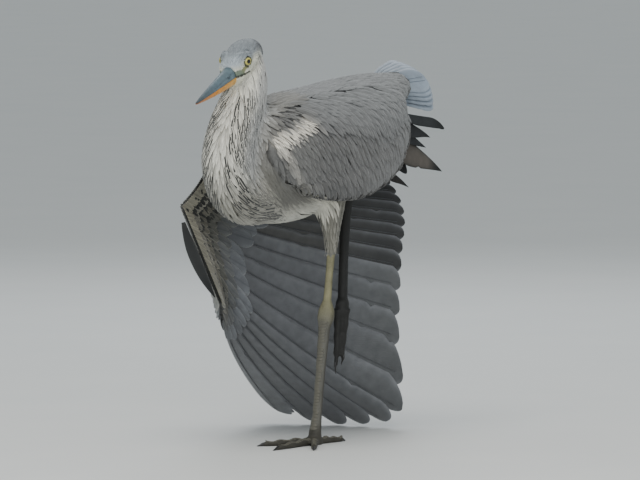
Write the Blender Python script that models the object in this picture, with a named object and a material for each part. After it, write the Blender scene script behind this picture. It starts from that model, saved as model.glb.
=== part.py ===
"""Grey heron, first-year bird, life size: a still museum model in a one-sided stretch.

The bird stands on its left leg, facing -Y, with its left side at +X and +Z up. The neck is drawn
back in an S, the left wing hangs loosely folded, and the right wing is spread downwards behind the
body with the right leg held back in front of it. The origin is under the standing foot.
Metres throughout. Places are given as (forward, left, up) and turned into X, Y, Z by spot().
"""
import math

import bmesh
import bpy
from mathutils import Matrix, Vector

GAP = 0.0003              # parting line between two neighbouring pieces
MIDLINE = -0.007          # the body's middle plane, to the right of the standing foot

# Trunk: forward, back height, belly height, half width
TRUNK = ((0.165, 0.372, 0.322, 0.016), (0.150, 0.396, 0.286, 0.037), (0.120, 0.413, 0.270, 0.051),
         (0.080, 0.421, 0.267, 0.060), (0.030, 0.425, 0.270, 0.064), (-0.030, 0.431, 0.288, 0.062),
         (-0.080, 0.435, 0.316, 0.054), (-0.130, 0.437, 0.352, 0.042), (-0.170, 0.436, 0.388, 0.029),
         (-0.195, 0.431, 0.409, 0.016))
TRUNK_SIDES = 24
TRUNK_STATIONS = 15

# Neck: distance order, forward, up, half width across, half depth along the bird
NECK = ((0.0, 0.098, 0.307, 0.033, 0.036), (1.0, 0.126, 0.304, 0.034, 0.037),
        (2.0, 0.153, 0.311, 0.034, 0.037), (3.0, 0.170, 0.330, 0.033, 0.034),
        (4.0, 0.173, 0.357, 0.0315, 0.033), (5.0, 0.160, 0.385, 0.030, 0.033),
        (6.0, 0.143, 0.411, 0.028, 0.032), (7.0, 0.131, 0.441, 0.024, 0.031),
        (8.0, 0.125, 0.470, 0.014, 0.020))
NECK_SIDES = 16
NECK_PARTING = 3.5        # where the lower length ends and the upper begins
NECK_STEP = 0.25          # between two rings
NECK_SEAM = 0.005         # half the parting line, about GAP / 2
NECK_INNER_LESS = 0.20    # how much less deep the neck is on the inside of its bend

# Head: the skull's centre, and rows of distance ahead, centre height, half width, half height
SKULL = (0.143, -0.010, 0.463)
HEAD_YAW = math.radians(10)     # to the bird's left
HEAD_PITCH = math.radians(16)   # bill down
HEAD = ((-0.041, 0.004, 0.005, 0.006), (-0.034, 0.002, 0.012, 0.014), (-0.020, 0.0, 0.0175, 0.0205),
        (-0.004, 0.0, 0.0198, 0.0234), (0.010, -0.0006, 0.0192, 0.0222),
        (0.023, -0.0026, 0.0166, 0.0190), (0.035, -0.0054, 0.0122, 0.0148),
        (0.041, -0.0068, 0.0098, 0.0120))
HEAD_SIDES = 18
HEAD_STATIONS = 12
BILL_ROOT = 0.022         # ahead of the skull's centre, inside the face
BILL_LENGTH = 0.115       # from that root to the tip
GAPE = -0.0085            # height of the mouth line at the root
GAPE_AT_TIP = -0.0075
BILL_HALF_WIDTH = 0.0090
UPPER_DEPTH = 0.0132
UPPER_TAPER = 0.80        # the culmen is nearly straight
LOWER_DEPTH = 0.0102
LOWER_TAPER = 1.8         # the lower mandible keeps its depth past the middle
SIDE_TAPER = 0.75
BILL_POINT = 0.0011       # half the thickness at the tip
BILL_STATIONS = (0.0, 0.12, 0.28, 0.46, 0.64, 0.80, 0.92, 1.0)   # shares of its length
BILL_SIDES = 8            # over each mandible
EYE_CENTRE = (0.0172, 0.0130, 0.0050)   # ahead, to the side, up
EYE_RADIUS = 0.0072

# Tail: twelve feathers as one blade, rolled left edge down
TAIL_ROOT = (-0.172, -0.009, 0.422)
TAIL_TIP = (-0.256, -0.006, 0.426)
TAIL_ROLL = math.radians(48)
TAIL_ROOT_WIDTH = 0.034
TAIL_TIP_WIDTH = 0.071
TAIL_ROUNDING = 0.06      # how much shorter the outer feathers are, as a share
TAIL_NOTCH = 0.05         # between two feathers, as a share
TAIL_FEATHERS = 6         # seen from one side, the upper feather of each pair

# Folded left wing: forward, upper edge, lower edge
FOLDED = ((0.151, 0.374, 0.350), (0.135, 0.396, 0.326), (0.110, 0.408, 0.309),
          (0.070, 0.415, 0.299), (0.020, 0.420, 0.295), (-0.030, 0.424, 0.298),
          (-0.080, 0.425, 0.307), (-0.125, 0.421, 0.318), (-0.152, 0.408, 0.333),
          (-0.168, 0.380, 0.352))
FOLDED_STATIONS = 14
FOLDED_SIDES = 8          # points from the upper edge to the lower
FOLDED_CLEARANCE = 0.0030
FOLDED_THICKNESS = 0.0085
FOLDED_EDGE = 0.0022
FOLDED_TUCK = 1.4         # how far its lower edge turns in under the body

# The folded wing's flight feathers that show past its rear edge: root and tip, upper first
FOLDED_TIPS = (((-0.1588, 0.030, 0.400), (-0.292, 0.002, 0.366)),
               ((-0.1656, 0.027, 0.388), (-0.255, 0.010, 0.352)),
               ((-0.1700, 0.024, 0.376), (-0.245, 0.012, 0.342)),
               ((-0.1704, 0.020, 0.360), (-0.268, 0.012, 0.313)),
               ((-0.1500, 0.012, 0.345), (-0.204, 0.018, 0.318)),
               ((-0.1350, 0.012, 0.332), (-0.200, 0.012, 0.297)))

# Spread right wing: rays from the leading edge to the feather tips, counted from the body
TERTIALS = 3
SECONDARIES = 10
PRIMARIES = 10
INNER = TERTIALS + SECONDARIES
FEATHERS = INNER + PRIMARIES
SHOULDER = (0.115, -0.056, 0.384)
WRIST = (0.088, -0.132, 0.285)
HAND_TIP = (0.049, -0.102, 0.168)
# feather number, forward, left, up of the tip
TIPS = ((0.0, -0.172, -0.048, 0.372), (4.5, -0.194, -0.026, 0.315), (8.5, -0.204, -0.004, 0.267),
        (12.5, -0.198, -0.004, 0.202), (15.5, -0.203, -0.010, 0.114), (17.5, -0.222, -0.018, 0.024),
        (19.5, -0.222, -0.074, 0.0035), (21.5, -0.208, -0.142, 0.0055), (23.0, -0.180, -0.192, 0.022))
# feather number, how far the wing's hollow is bowed outwards at mid chord
LEADING_HOLLOW = 0.012    # of the skin between shoulder and wrist
BOW = ((0.0, 0.020), (3.0, 0.044), (8.0, 0.044), (13.0, 0.036), (23.0, 0.024))
COVERT_END_INNER = 0.36   # share of the chord that the fleshy, covert-clad part takes
COVERT_END_HAND = 0.26
ARM_THICKNESS = 0.0130
HAND_THICKNESS = 0.0100
FEATHER_THICKNESS = 0.0024
TIP_THICKNESS = 0.0014
NOTCH = 0.032             # how far a feather's edge ends short of its tip, as a share of the chord
PRIMARY_NOTCH = 0.050
CHORD = 0.30              # about the length of a ray, for turning lengths into shares
FEATHER_PITCH = 0.003     # least room between two rays, near the shoulder

# Alula: the short stiff feathers that stand off the hand's leading edge
ALULA_ROOT = 0.20         # shares of the hand, from the wrist
ALULA_TIP = 0.94
ALULA_WIDTH = 0.0135
ALULA_CLEARANCE = 0.0020  # from the hand's edge
ALULA_LIFT = 1.0          # how far it is raised off the wing's upper side, per unit outwards

# Legs: forward, left, up, radius along each length
THIGH_LEFT = ((0.012, 0.026, 0.318, 0.024), (0.010, 0.028, 0.290, 0.019), (0.006, 0.027, 0.262, 0.0118),
              (0.001, 0.0235, 0.229, 0.0074))
SHIN_LEFT = ((0.001, 0.0233, 0.2285, 0.0052), (-0.003, 0.018, 0.200, 0.0046),
             (-0.0065, 0.0132, 0.172, 0.0052))
TARSUS_LEFT = ((-0.0068, 0.0128, 0.1705, 0.0062), (-0.0080, 0.0112, 0.160, 0.0098),
               (-0.0080, 0.0100, 0.151, 0.0104), (-0.0070, 0.0088, 0.140, 0.0074),
               (-0.0040, 0.0055, 0.090, 0.0060), (-0.0015, 0.0020, 0.035, 0.0058),
               (0.0, 0.0, 0.014, 0.0078), (0.0, 0.0, 0.0, 0.0092))
THIGH_RIGHT = ((-0.002, -0.046, 0.334, 0.027), (-0.030, -0.046, 0.322, 0.022),
               (-0.060, -0.044, 0.311, 0.014), (-0.086, -0.042, 0.304, 0.0078))
SHIN_RIGHT = ((-0.0865, -0.0419, 0.3038, 0.0054), (-0.105, -0.0395, 0.300, 0.0048),
              (-0.124, -0.0365, 0.2963, 0.0056))
TARSUS_RIGHT = ((-0.1290, -0.0378, 0.3040, 0.0062), (-0.1275, -0.0371, 0.2990, 0.0094),
                (-0.1245, -0.0357, 0.2900, 0.0104), (-0.1212, -0.0341, 0.2800, 0.0080),
                (-0.1172, -0.0322, 0.2680, 0.0066), (-0.1000, -0.0240, 0.2160, 0.0058),
                (-0.0870, -0.0170, 0.1700, 0.0062), (-0.0850, -0.0160, 0.1630, 0.0070))
LEG_SIDES = 12

# Toes: name, length with claw, turned outwards from straight ahead in degrees
TOES = (("middle", 0.092, 0), ("inner", 0.074, -37), ("outer", 0.080, 32), ("hind", 0.056, 172))
TOE_RADIUS = 0.0052
TOE_KNUCKLES = 3
CLAW_SHARE = 0.17         # of the toe's length
TOE_START = 0.0060        # from the middle of the foot
# The lifted foot's toes hang closed: name, share of the standing toe's length, place in the bundle
HANGING_TOES = (("middle", 0.94, 0), ("inner", 0.94, -90), ("outer", 0.94, 90), ("hind", 0.96, 180))
HANGING_END = (-0.0830, -0.0215, 0.078)    # where the bundle points
HANGING_RADIUS = 0.0041
HANGING_SPREAD = 0.0071
HANGING_TAPER = 0.66      # how much of the spread is left at the tips

# Colour, roughness
FINISHES = {
    "plumage_grey": ((0.155, 0.160, 0.170), 0.85),
    "plumage_white": ((0.560, 0.560, 0.540), 0.85),
    "plumage_dark": ((0.045, 0.047, 0.052), 0.80),
    "horn_dark": ((0.120, 0.140, 0.165), 0.40),
    "horn_yellow": ((0.640, 0.300, 0.060), 0.40),
    "eye": ((0.620, 0.560, 0.160), 0.10),
    "leg_pale": ((0.300, 0.270, 0.170), 0.60),
    "leg_dark": ((0.050, 0.048, 0.042), 0.60),
}


def clear_scene():
    for obj in list(bpy.data.objects):
        bpy.data.objects.remove(obj, do_unlink=True)


def spot(forward, left, up):
    return Vector((left, -forward, up))


def curve(keys, at):
    """Smooth values at a place along rows whose first number is the place (rising)."""
    last = len(keys) - 1
    i = 0
    while i < last - 1 and at > keys[i + 1][0]:
        i += 1
    low, high = keys[i], keys[i + 1]
    before, after = keys[max(i - 1, 0)], keys[min(i + 2, last)]
    span = high[0] - low[0]
    t = min(max((at - low[0]) / span, 0.0), 1.0)
    values = []
    for c in range(1, len(low)):
        slope_low = (high[c] - before[c]) / (high[0] - before[0])
        slope_high = (after[c] - low[c]) / (after[0] - low[0])
        values.append((2 * t**3 - 3 * t**2 + 1) * low[c] + (t**3 - 2 * t**2 + t) * span * slope_low
                      + (3 * t**2 - 2 * t**3) * high[c] + (t**3 - t**2) * span * slope_high)
    return values


def rising(rows):
    """Rows that run from front to back, keyed by the distance behind the first."""
    return tuple((-row[0],) + tuple(row[1:]) for row in rows)


def steps(start, end, count):
    return [start + (end - start) * k / (count - 1) for k in range(count)]


def add_object(name, bm, finish, sharp=40):
    bmesh.ops.recalc_face_normals(bm, faces=bm.faces)
    mesh = bpy.data.meshes.new(name)
    bm.to_mesh(mesh)
    bm.free()
    mesh.shade_smooth()
    mesh.set_sharp_from_angle(angle=math.radians(sharp))
    obj = bpy.data.objects.new(name, mesh)
    bpy.context.scene.collection.objects.link(obj)
    mesh.materials.append(material(finish))
    return obj


def material(finish):
    found = bpy.data.materials.get(finish)
    if found:
        return found
    colour, roughness = FINISHES[finish]
    made = bpy.data.materials.new(finish)
    made.use_nodes = True
    shader = made.node_tree.nodes["Principled BSDF"]
    shader.inputs["Base Color"].default_value = (*colour, 1.0)
    shader.inputs["Roughness"].default_value = roughness
    shader.inputs["Metallic"].default_value = 0.0
    return made


def skin_rings(rings):
    """A closed tube through equal rings of points, with flat ends."""
    bm = bmesh.new()
    loops = [[bm.verts.new(point) for point in ring] for ring in rings]
    sides = len(loops[0])
    for ring, following in zip(loops, loops[1:]):
        for k in range(sides):
            bm.faces.new((ring[k], ring[(k + 1) % sides], following[(k + 1) % sides], following[k]))
    bm.faces.new(loops[0])
    bm.faces.new(list(reversed(loops[-1])))
    return bm


def oval(centre, side, up, half_width, half_height, sides, egg=0.0, flatter=0.0, turn=0.0):
    """Points round an oval; egg widens its upper half, flatter lowers it, turn is in sides."""
    ring = []
    for k in range(sides):
        angle = 2 * math.pi * (k + turn) / sides
        across = half_width * math.cos(angle) * (1 + egg * math.sin(angle))
        rise = half_height * math.sin(angle) * (1 - flatter * (math.sin(angle) > 0))
        ring.append(centre + side * across + up * rise)
    return ring


def carve(target, cutters):
    """Takes the room of each cutter out of the target, and hides the cutter."""
    for cutter in cutters:
        cut = target.modifiers.new("room_for_" + cutter.name, "BOOLEAN")
        cut.operation = "DIFFERENCE"
        cut.object = cutter
        cutter.hide_render = True
        cutter.display_type = "WIRE"


# ---------------------------------------------------------------- trunk, neck and head

def trunk_section(forward):
    back, belly, half_width = curve(rising(TRUNK), -forward)
    return back, belly, half_width


def make_trunk():
    rings = []
    for forward in steps(TRUNK[0][0], TRUNK[-1][0], TRUNK_STATIONS):
        back, belly, half_width = trunk_section(forward)
        centre = spot(forward, MIDLINE, (back + belly) / 2)
        rings.append(oval(centre, Vector((1, 0, 0)), Vector((0, 0, 1)), half_width,
                          (back - belly) / 2, TRUNK_SIDES, egg=0.10))
    return add_object("trunk", skin_rings(rings), "plumage_grey")


def neck_ring(at, grow):
    forward, up, half_width, half_depth = curve(NECK, at)
    ahead = curve(NECK, min(at + 0.05, NECK[-1][0]))
    behind = curve(NECK, max(at - 0.05, 0.0))
    along = (spot(ahead[0], 0, ahead[1]) - spot(behind[0], 0, behind[1])).normalized()
    side = Vector((1, 0, 0))
    depth = along.cross(side).normalized()
    centre = spot(forward, MIDLINE, up) - along * (grow if at == 0 else 0)
    return oval(centre, side, depth, half_width + grow, half_depth + grow, NECK_SIDES,
                flatter=NECK_INNER_LESS)


def make_neck_length(name, start, end, grow=0.0):
    inside = [k * NECK_STEP for k in range(int(NECK[-1][0] / NECK_STEP) + 1)]
    places = [start] + [at for at in inside if start + NECK_SEAM < at < end - NECK_SEAM] + [end]
    rings = [neck_ring(at, grow) for at in places]
    return add_object(name, skin_rings(rings), "plumage_white")


def head_frame():
    """Turns (ahead, side, up) of the head into the bird's own X, Y, Z; side is to the left."""
    turn = Matrix.Rotation(HEAD_YAW, 4, "Z") @ Matrix.Rotation(HEAD_PITCH, 4, "X")
    return Matrix.Translation(spot(*SKULL)) @ turn


def head_spot(ahead, side, up):
    return head_frame() @ Vector((side, -ahead, up))


def make_head(name="head", grow=0.0):
    rings = []
    for ahead in steps(HEAD[0][0], HEAD[-1][0], HEAD_STATIONS):
        centre_up, half_width, half_height = curve(HEAD, ahead)
        ring = []
        for k in range(HEAD_SIDES):
            angle = 2 * math.pi * k / HEAD_SIDES
            ring.append(head_spot(ahead, (half_width + grow) * math.cos(angle),
                                  centre_up + (half_height + grow) * math.sin(angle)))
        rings.append(ring)
    return add_object(name, skin_rings(rings), "plumage_white")


def bill_arc(share, way, grow):
    """Half an oval above (way 1) or below (way -1) the mouth line."""
    ahead = BILL_ROOT - grow + (BILL_LENGTH + grow) * share
    gape = GAPE + (GAPE_AT_TIP - GAPE) * share
    if way > 0:
        height = UPPER_DEPTH * (1 - share) ** UPPER_TAPER + BILL_POINT
    else:
        height = LOWER_DEPTH * (1 - share**LOWER_TAPER) + BILL_POINT
    half_width = BILL_HALF_WIDTH * (1 - share) ** SIDE_TAPER + BILL_POINT
    flat = gape + (way * GAP / 2 if grow == 0 else 0)
    arc = []
    for k in range(BILL_SIDES + 1):
        angle = math.pi * k / BILL_SIDES
        arc.append(head_spot(ahead, way * (half_width + grow) * math.cos(angle),
                             flat + way * (height + grow) * math.sin(angle)))
    return arc


def make_mandible(name, way, finish):
    rings = [bill_arc(share, way, 0.0) for share in BILL_STATIONS]
    return add_object(name, skin_rings(rings), finish, sharp=50)


def make_bill_room():
    """The room of both mandibles in one, cut from the face."""
    rings = [bill_arc(share, 1, GAP)[:-1] + bill_arc(share, -1, GAP)[:-1]
             for share in BILL_STATIONS]
    return add_object("bill_room", skin_rings(rings), "horn_dark")


def make_eye(name, way, grow=0.0):
    bm = bmesh.new()
    ahead, side, up = EYE_CENTRE
    bmesh.ops.create_uvsphere(bm, u_segments=10, v_segments=7, radius=EYE_RADIUS + grow,
                              matrix=Matrix.Translation(head_spot(ahead, way * side, up)))
    return add_object(name, bm, "eye")


def make_front():
    trunk = make_trunk()
    make_neck_length("neck_lower", 0.0, NECK_PARTING - NECK_SEAM)
    upper = make_neck_length("neck_upper", NECK_PARTING + NECK_SEAM, NECK[-1][0])
    carve(trunk, [make_neck_length("neck_room", 0.0, NECK[-1][0], 2 * GAP)])
    head = make_head()
    carve(upper, [make_head("head_room", GAP)])
    make_mandible("bill_upper", 1, "horn_dark")
    make_mandible("bill_lower", -1, "horn_yellow")
    rooms = [make_bill_room()]
    for side_name, way in (("left", 1), ("right", -1)):
        make_eye("eye_" + side_name, way)
        rooms.append(make_eye("eye_room_" + side_name, way, GAP))
    carve(head, rooms)
    carve(upper, rooms[:1])
    return trunk


# ---------------------------------------------------------------- feathered blades

def grid_normal(columns, j, k):
    across = columns[min(j + 1, len(columns) - 1)][k] - columns[max(j - 1, 0)][k]
    along = columns[j][min(k + 1, len(columns[j]) - 1)] - columns[j][max(k - 1, 0)]
    return across.cross(along).normalized()


def blade_mesh(columns, thicknesses, normals=None):
    """A closed blade round a grid of points, columns[j][k], with its thickness at each."""
    wide, deep = len(columns), len(columns[0])
    faces_up, faces_down = [], []
    for j in range(wide):
        row_up, row_down = [], []
        for k in range(deep):
            normal = normals[j][k] if normals else grid_normal(columns, j, k)
            lift = normal * (thicknesses[j][k] / 2)
            row_up.append(columns[j][k] + lift)
            row_down.append(columns[j][k] - lift)
        faces_up.append(row_up)
        faces_down.append(row_down)
    bm = bmesh.new()
    top = [[bm.verts.new(p) for p in row] for row in faces_up]
    low = [[bm.verts.new(p) for p in row] for row in faces_down]
    for j in range(wide - 1):
        for k in range(deep - 1):
            bm.faces.new((top[j][k], top[j + 1][k], top[j + 1][k + 1], top[j][k + 1]))
            bm.faces.new((low[j][k], low[j][k + 1], low[j + 1][k + 1], low[j + 1][k]))
    for j in range(wide - 1):
        bm.faces.new((top[j][0], low[j][0], low[j + 1][0], top[j + 1][0]))
        bm.faces.new((top[j][-1], top[j + 1][-1], low[j + 1][-1], low[j][-1]))
    for k in range(deep - 1):
        bm.faces.new((top[0][k], top[0][k + 1], low[0][k + 1], low[0][k]))
        bm.faces.new((top[-1][k], low[-1][k], low[-1][k + 1], top[-1][k + 1]))
    return bm


def notch(number, depth):
    """Share of the ray kept at a place across the feathers, whole at each feather's tip."""
    off_tip = abs((number % 1.0) - 0.5) * 2
    return 1 - depth * off_tip**3


def wing_ray(number, share):
    """A point of the spread wing, at a feather number and a share of the chord."""
    end = spot(*curve(TIPS, number))
    if number <= INNER:
        t = number / INNER
        start = spot(*SHOULDER).lerp(spot(*WRIST), t)
        start += (end - start).normalized() * (LEADING_HOLLOW * 4 * t * (1 - t))
    else:
        t = (number - INNER) / PRIMARIES
        start = spot(*WRIST).lerp(spot(*HAND_TIP), t)
    chord = end - start
    outward = Vector((-abs(chord.y), -chord.x * math.copysign(1, chord.y), 0)).normalized()
    bow = curve(BOW, number)[0]
    return start.lerp(end, share) + outward * (4 * bow * share * (1 - share))


def wing_normal(number, share):
    across = wing_ray(number + 0.3, share) - wing_ray(number - 0.3, share)
    along = wing_ray(number, share + 0.02) - wing_ray(number, share - 0.02)
    return across.cross(along).normalized()


def covert_end(number):
    t = min(max((number - INNER + 2) / 4, 0.0), 1.0)
    return COVERT_END_INNER + (COVERT_END_HAND - COVERT_END_INNER) * t


def wing_base(name, first, last, thickness, grow=0.0):
    """The fleshy front of the wing, from its leading edge to the end of its coverts."""
    columns, thick, normals = [], [], []
    shares = (0.0, 0.06, 0.25, 0.55, 0.8, 1.0)
    longer = grow / CHORD     # the room reaches past the edges too
    for number in steps(first - grow / FEATHER_PITCH, last, round(last - first) + 1):
        end = covert_end(number) - 0.0015 + 2 * longer
        columns.append([wing_ray(number, share * end - longer) for share in shares])
        normals.append([wing_normal(number, share * end - longer) for share in shares])
        thick.append([2 * grow + FEATHER_THICKNESS + (thickness - FEATHER_THICKNESS)
                      * math.sin(math.pi * share**0.6) ** 0.8 for share in shares[:-1]]
                     + [2 * grow + FEATHER_THICKNESS])
    return add_object(name, blade_mesh(columns, thick, normals), "plumage_dark")


def wing_feathers(name, first, last, depth, per_feather):
    """The flight feathers behind the coverts, with a notch between each two tips."""
    columns, thick, normals = [], [], []
    shares = (0.0, 0.3, 0.6, 0.85, 1.0)
    for number in steps(first, last, round(last - first) * per_feather + 1):
        start = covert_end(number) + 0.0015
        end = notch(number, depth)
        columns.append([wing_ray(number, start + (end - start) * share) for share in shares])
        normals.append([wing_normal(number, start + (end - start) * share) for share in shares])
        thick.append([FEATHER_THICKNESS + (TIP_THICKNESS - FEATHER_THICKNESS) * share
                      for share in shares])
    return add_object(name, blade_mesh(columns, thick, normals), "plumage_dark")


def make_right_wing():
    wing_base("wing_right_arm", 0, INNER - 0.01, ARM_THICKNESS)
    wing_base("wing_right_hand", INNER + 0.02, FEATHERS, HAND_THICKNESS)
    wing_feathers("wing_right_secondaries", 0, INNER - 0.01, NOTCH, 3)
    wing_feathers("wing_right_primaries", INNER + 0.02, FEATHERS, PRIMARY_NOTCH, 4)
    return wing_base("arm_room", 0, INNER, ARM_THICKNESS, GAP)


def make_alula():
    """The short stiff feather on the leading edge of the spread wing's hand."""
    columns, thick = [], []
    edge_line = (spot(*HAND_TIP) - spot(*WRIST)).normalized()
    for across in (ALULA_WIDTH, ALULA_WIDTH / 2, 0.0):
        column, widths = [], []
        for share in (0.0, 0.15, 0.35, 0.6, 0.85, 1.0):
            taper = math.sin(math.pi * (0.12 + 0.80 * share)) ** 0.7
            number = INNER + PRIMARIES * (ALULA_ROOT + (ALULA_TIP - ALULA_ROOT) * share)
            edge = wing_ray(number, 0.0)
            inward = wing_ray(number, 0.5) - edge
            outward = -(inward - edge_line * inward.dot(edge_line)).normalized()
            raised = (outward - Vector((ALULA_LIFT, 0, 0))).normalized()
            column.append(edge + raised * (across * taper + ALULA_CLEARANCE))
            widths.append(FEATHER_THICKNESS)
        columns.append(column)
        thick.append(widths)
    return add_object("alula_right", blade_mesh(columns, thick), "plumage_dark")


def folded_section(forward):
    """The folded wing across the bird: a band that follows the trunk's side and hangs below it."""
    upper, lower = curve(rising(FOLDED), -forward)
    back, belly, half_width = trunk_section(max(forward, TRUNK[-1][0]))
    middle, half_height = (back + belly) / 2, (back - belly) / 2
    outer, inner = [], []
    for k in range(FOLDED_SIDES + 1):
        share = k / FOLDED_SIDES
        up = upper + (lower - upper) * share
        lift = (up - middle) / (half_height + FOLDED_CLEARANCE)
        if lift > 0:
            reach = math.sqrt(max(1 - lift * lift, 0.0)) * (1 + 0.10 * lift)
        else:
            reach = 1 - 0.10 * min(lift * lift, FOLDED_TUCK)
        side = MIDLINE + (half_width + FOLDED_CLEARANCE) * reach
        wall = FOLDED_EDGE + (FOLDED_THICKNESS - FOLDED_EDGE) * math.sin(math.pi * share) ** 0.7
        inner.append(spot(forward, side, up))
        outer.append(spot(forward, side + wall, up))
    return outer + list(reversed(inner))


def make_folded_wing():
    places = steps(FOLDED[0][0], FOLDED[-1][0], FOLDED_STATIONS)
    return add_object("wing_left", skin_rings([folded_section(place) for place in places]),
                      "plumage_grey")


def make_folded_tips():
    """The pointed flight feathers behind the folded wing, joined at their roots."""
    columns, thick = [], []
    last = len(FOLDED_TIPS) - 1
    roots = tuple((i + 0.5,) + root for i, (root, tip) in enumerate(FOLDED_TIPS))
    tips = tuple((i + 0.5,) + tip for i, (root, tip) in enumerate(FOLDED_TIPS))
    for number in steps(0.1, last + 0.9, 4 * (last + 1) + 1):
        root, tip = spot(*curve(roots, number)), spot(*curve(tips, number))
        off_tip = abs((number % 1.0) - 0.5) * 2
        end = 1 - 0.45 * off_tip
        column = [root.lerp(tip, end * share) for share in (0.0, 0.35, 0.7, 1.0)]
        columns.append(column)
        thick.append([FEATHER_THICKNESS, FEATHER_THICKNESS, 0.0020, TIP_THICKNESS])
    return add_object("wing_left_primaries", blade_mesh(columns, thick), "plumage_dark")


def make_tail(name="tail", grow=0.0):
    root, tip = spot(*TAIL_ROOT), spot(*TAIL_TIP)
    along = (tip - root).normalized()
    root -= along * (2 * grow)
    level = Vector((0, 0, 1)).cross(along).normalized()
    across = Matrix.Rotation(TAIL_ROLL, 3, along) @ level
    columns, thick = [], []
    for number in steps(0, TAIL_FEATHERS, TAIL_FEATHERS * 2 + 1):
        side = number / TAIL_FEATHERS * 2 - 1
        rounded = 1 - TAIL_ROUNDING * side * side - TAIL_NOTCH * (abs((number % 1.0) - 0.5) * 2) ** 2
        column = []
        for share in (0.0, 0.35, 0.7, 0.9, 1.0):
            width = TAIL_ROOT_WIDTH + (TAIL_TIP_WIDTH - TAIL_ROOT_WIDTH) * share
            arch = -0.010 * side * side * share
            column.append(root.lerp(tip, rounded * share) + across * (side * (width / 2 + grow))
                          + along.cross(across) * arch)
        columns.append(column)
        thick.append([0.010 + 2 * grow, 0.007 + 2 * grow, 0.004, 0.0026, 0.0018])
    return add_object(name, blade_mesh(columns, thick), "plumage_grey")


# ---------------------------------------------------------------- legs and feet

def limb(name, rows, finish, sides=LEG_SIDES, grow=0.0, floor=None):
    """A tube through rows of forward, left, up and radius; flattened where it meets the floor."""
    centres = [spot(*row[:3]) for row in rows]
    rings = []
    for i, row in enumerate(rows):
        along = (centres[min(i + 1, len(rows) - 1)] - centres[max(i - 1, 0)]).normalized()
        if floor is not None and row[2] <= floor:
            along = Vector((0, 0, -1))
        side = along.cross(Vector((0, 1, 0.2))).normalized()
        up = side.cross(along).normalized()
        end = (i == len(rows) - 1) - (i == 0)
        rings.append(oval(centres[i] + along * (end * grow), side, up, row[3] + grow, row[3] + grow,
                          sides))
    return add_object(name, skin_rings(rings), finish)


def toe_rows(start, end, radius):
    """Rows for one toe: swellings at the knuckles, then a claw that tapers."""
    rows = []
    count = TOE_KNUCKLES * 2 + 1
    for k in range(count):
        share = k / (count - 1) * (1 - CLAW_SHARE)
        swell = 1 + 0.14 * math.cos(math.pi * k)
        rows.append((share, radius * swell * (1 - 0.42 * share)))
    rows.append((1 - CLAW_SHARE * 0.8, radius * 0.42))
    rows.append((1 - CLAW_SHARE * 0.4, radius * 0.30))
    rows.append((1.0, radius * 0.10))
    return [(start.lerp(end, share), size) for share, size in rows]


def make_standing_toe(name, length, turned, grow=0.0):
    """A toe flat on the floor: its sole is one small level flat."""
    heading = math.radians(turned)
    ahead = Vector((math.sin(heading), -math.cos(heading), 0))
    side = ahead.cross(Vector((0, 0, 1)))
    rings = []
    for place, size in toe_rows(ahead * TOE_START, ahead * length, TOE_RADIUS):
        centre = place + Vector((0, 0, size * 0.82))
        ring = oval(centre, side, Vector((0, 0, 1)), size + grow, size + grow, 8, turn=0.5)
        rings.append([Vector((p.x, p.y, max(p.z, -grow))) for p in ring])
    return add_object(name, skin_rings(rings), "leg_dark")


def make_standing_foot():
    """The toes spread from under the tarsus; the side toes make room for the middle one."""
    pad_room = limb("tarsus_room_left", TARSUS_LEFT, "leg_pale", grow=GAP, floor=0.0)
    middle_room = make_standing_toe("toe_room_middle", TOES[0][1], TOES[0][2], GAP)
    for label, length, turned in TOES:
        toe = make_standing_toe("toe_%s_left" % label, length, turned)
        carve(toe, [pad_room] + ([middle_room] if label in ("inner", "outer") else []))


def make_hanging_toe(label, length, place):
    """A toe of the lifted foot, closed in a bundle with the others."""
    knuckle = spot(*TARSUS_RIGHT[-1][:3])
    along = (spot(*HANGING_END) - knuckle).normalized()
    turned = math.radians(place)
    away = Vector((math.sin(turned), -math.cos(turned), 0)) * HANGING_SPREAD
    start = knuckle + along * 0.0075 + away
    end = knuckle + along * length + away * HANGING_TAPER
    rings = [oval(centre, Vector((1, 0, 0)), Vector((0, 1, 0)), size, size, 8)
             for centre, size in toe_rows(start, end, HANGING_RADIUS)]
    return add_object("toe_%s_right" % label, skin_rings(rings), "leg_dark")


def make_legs():
    limb("thigh_left", THIGH_LEFT, "plumage_white", sides=16)
    limb("shin_left", SHIN_LEFT, "leg_pale")
    limb("tarsus_left", TARSUS_LEFT, "leg_pale", floor=0.0)
    make_standing_foot()
    limb("thigh_right", THIGH_RIGHT, "plumage_grey", sides=16)
    shin_right = limb("shin_right", SHIN_RIGHT, "leg_dark")
    limb("tarsus_right", TARSUS_RIGHT, "leg_dark")
    carve(shin_right, [limb("tarsus_room_right", TARSUS_RIGHT, "leg_dark", grow=GAP)])
    standing = {label: length for label, length, turned in TOES}
    for label, share, place in HANGING_TOES:
        make_hanging_toe(label, standing[label] * share, place)
    return [limb("thigh_room_left", THIGH_LEFT, "plumage_white", sides=16, grow=GAP),
            limb("thigh_room_right", THIGH_RIGHT, "plumage_white", sides=16, grow=GAP)]


def main():
    clear_scene()
    trunk = make_front()
    arm_room = make_right_wing()
    make_alula()
    make_folded_wing()
    make_folded_tips()
    make_tail()
    thigh_rooms = make_legs()
    carve(trunk, [arm_room, make_tail("tail_room", GAP)] + thigh_rooms)


main()
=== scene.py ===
import math
from itertools import product

import bmesh
import bpy
import numpy as np
from mathutils import Matrix, Vector, noise
from mathutils.bvhtree import BVHTree
from mathutils.kdtree import KDTree


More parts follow.
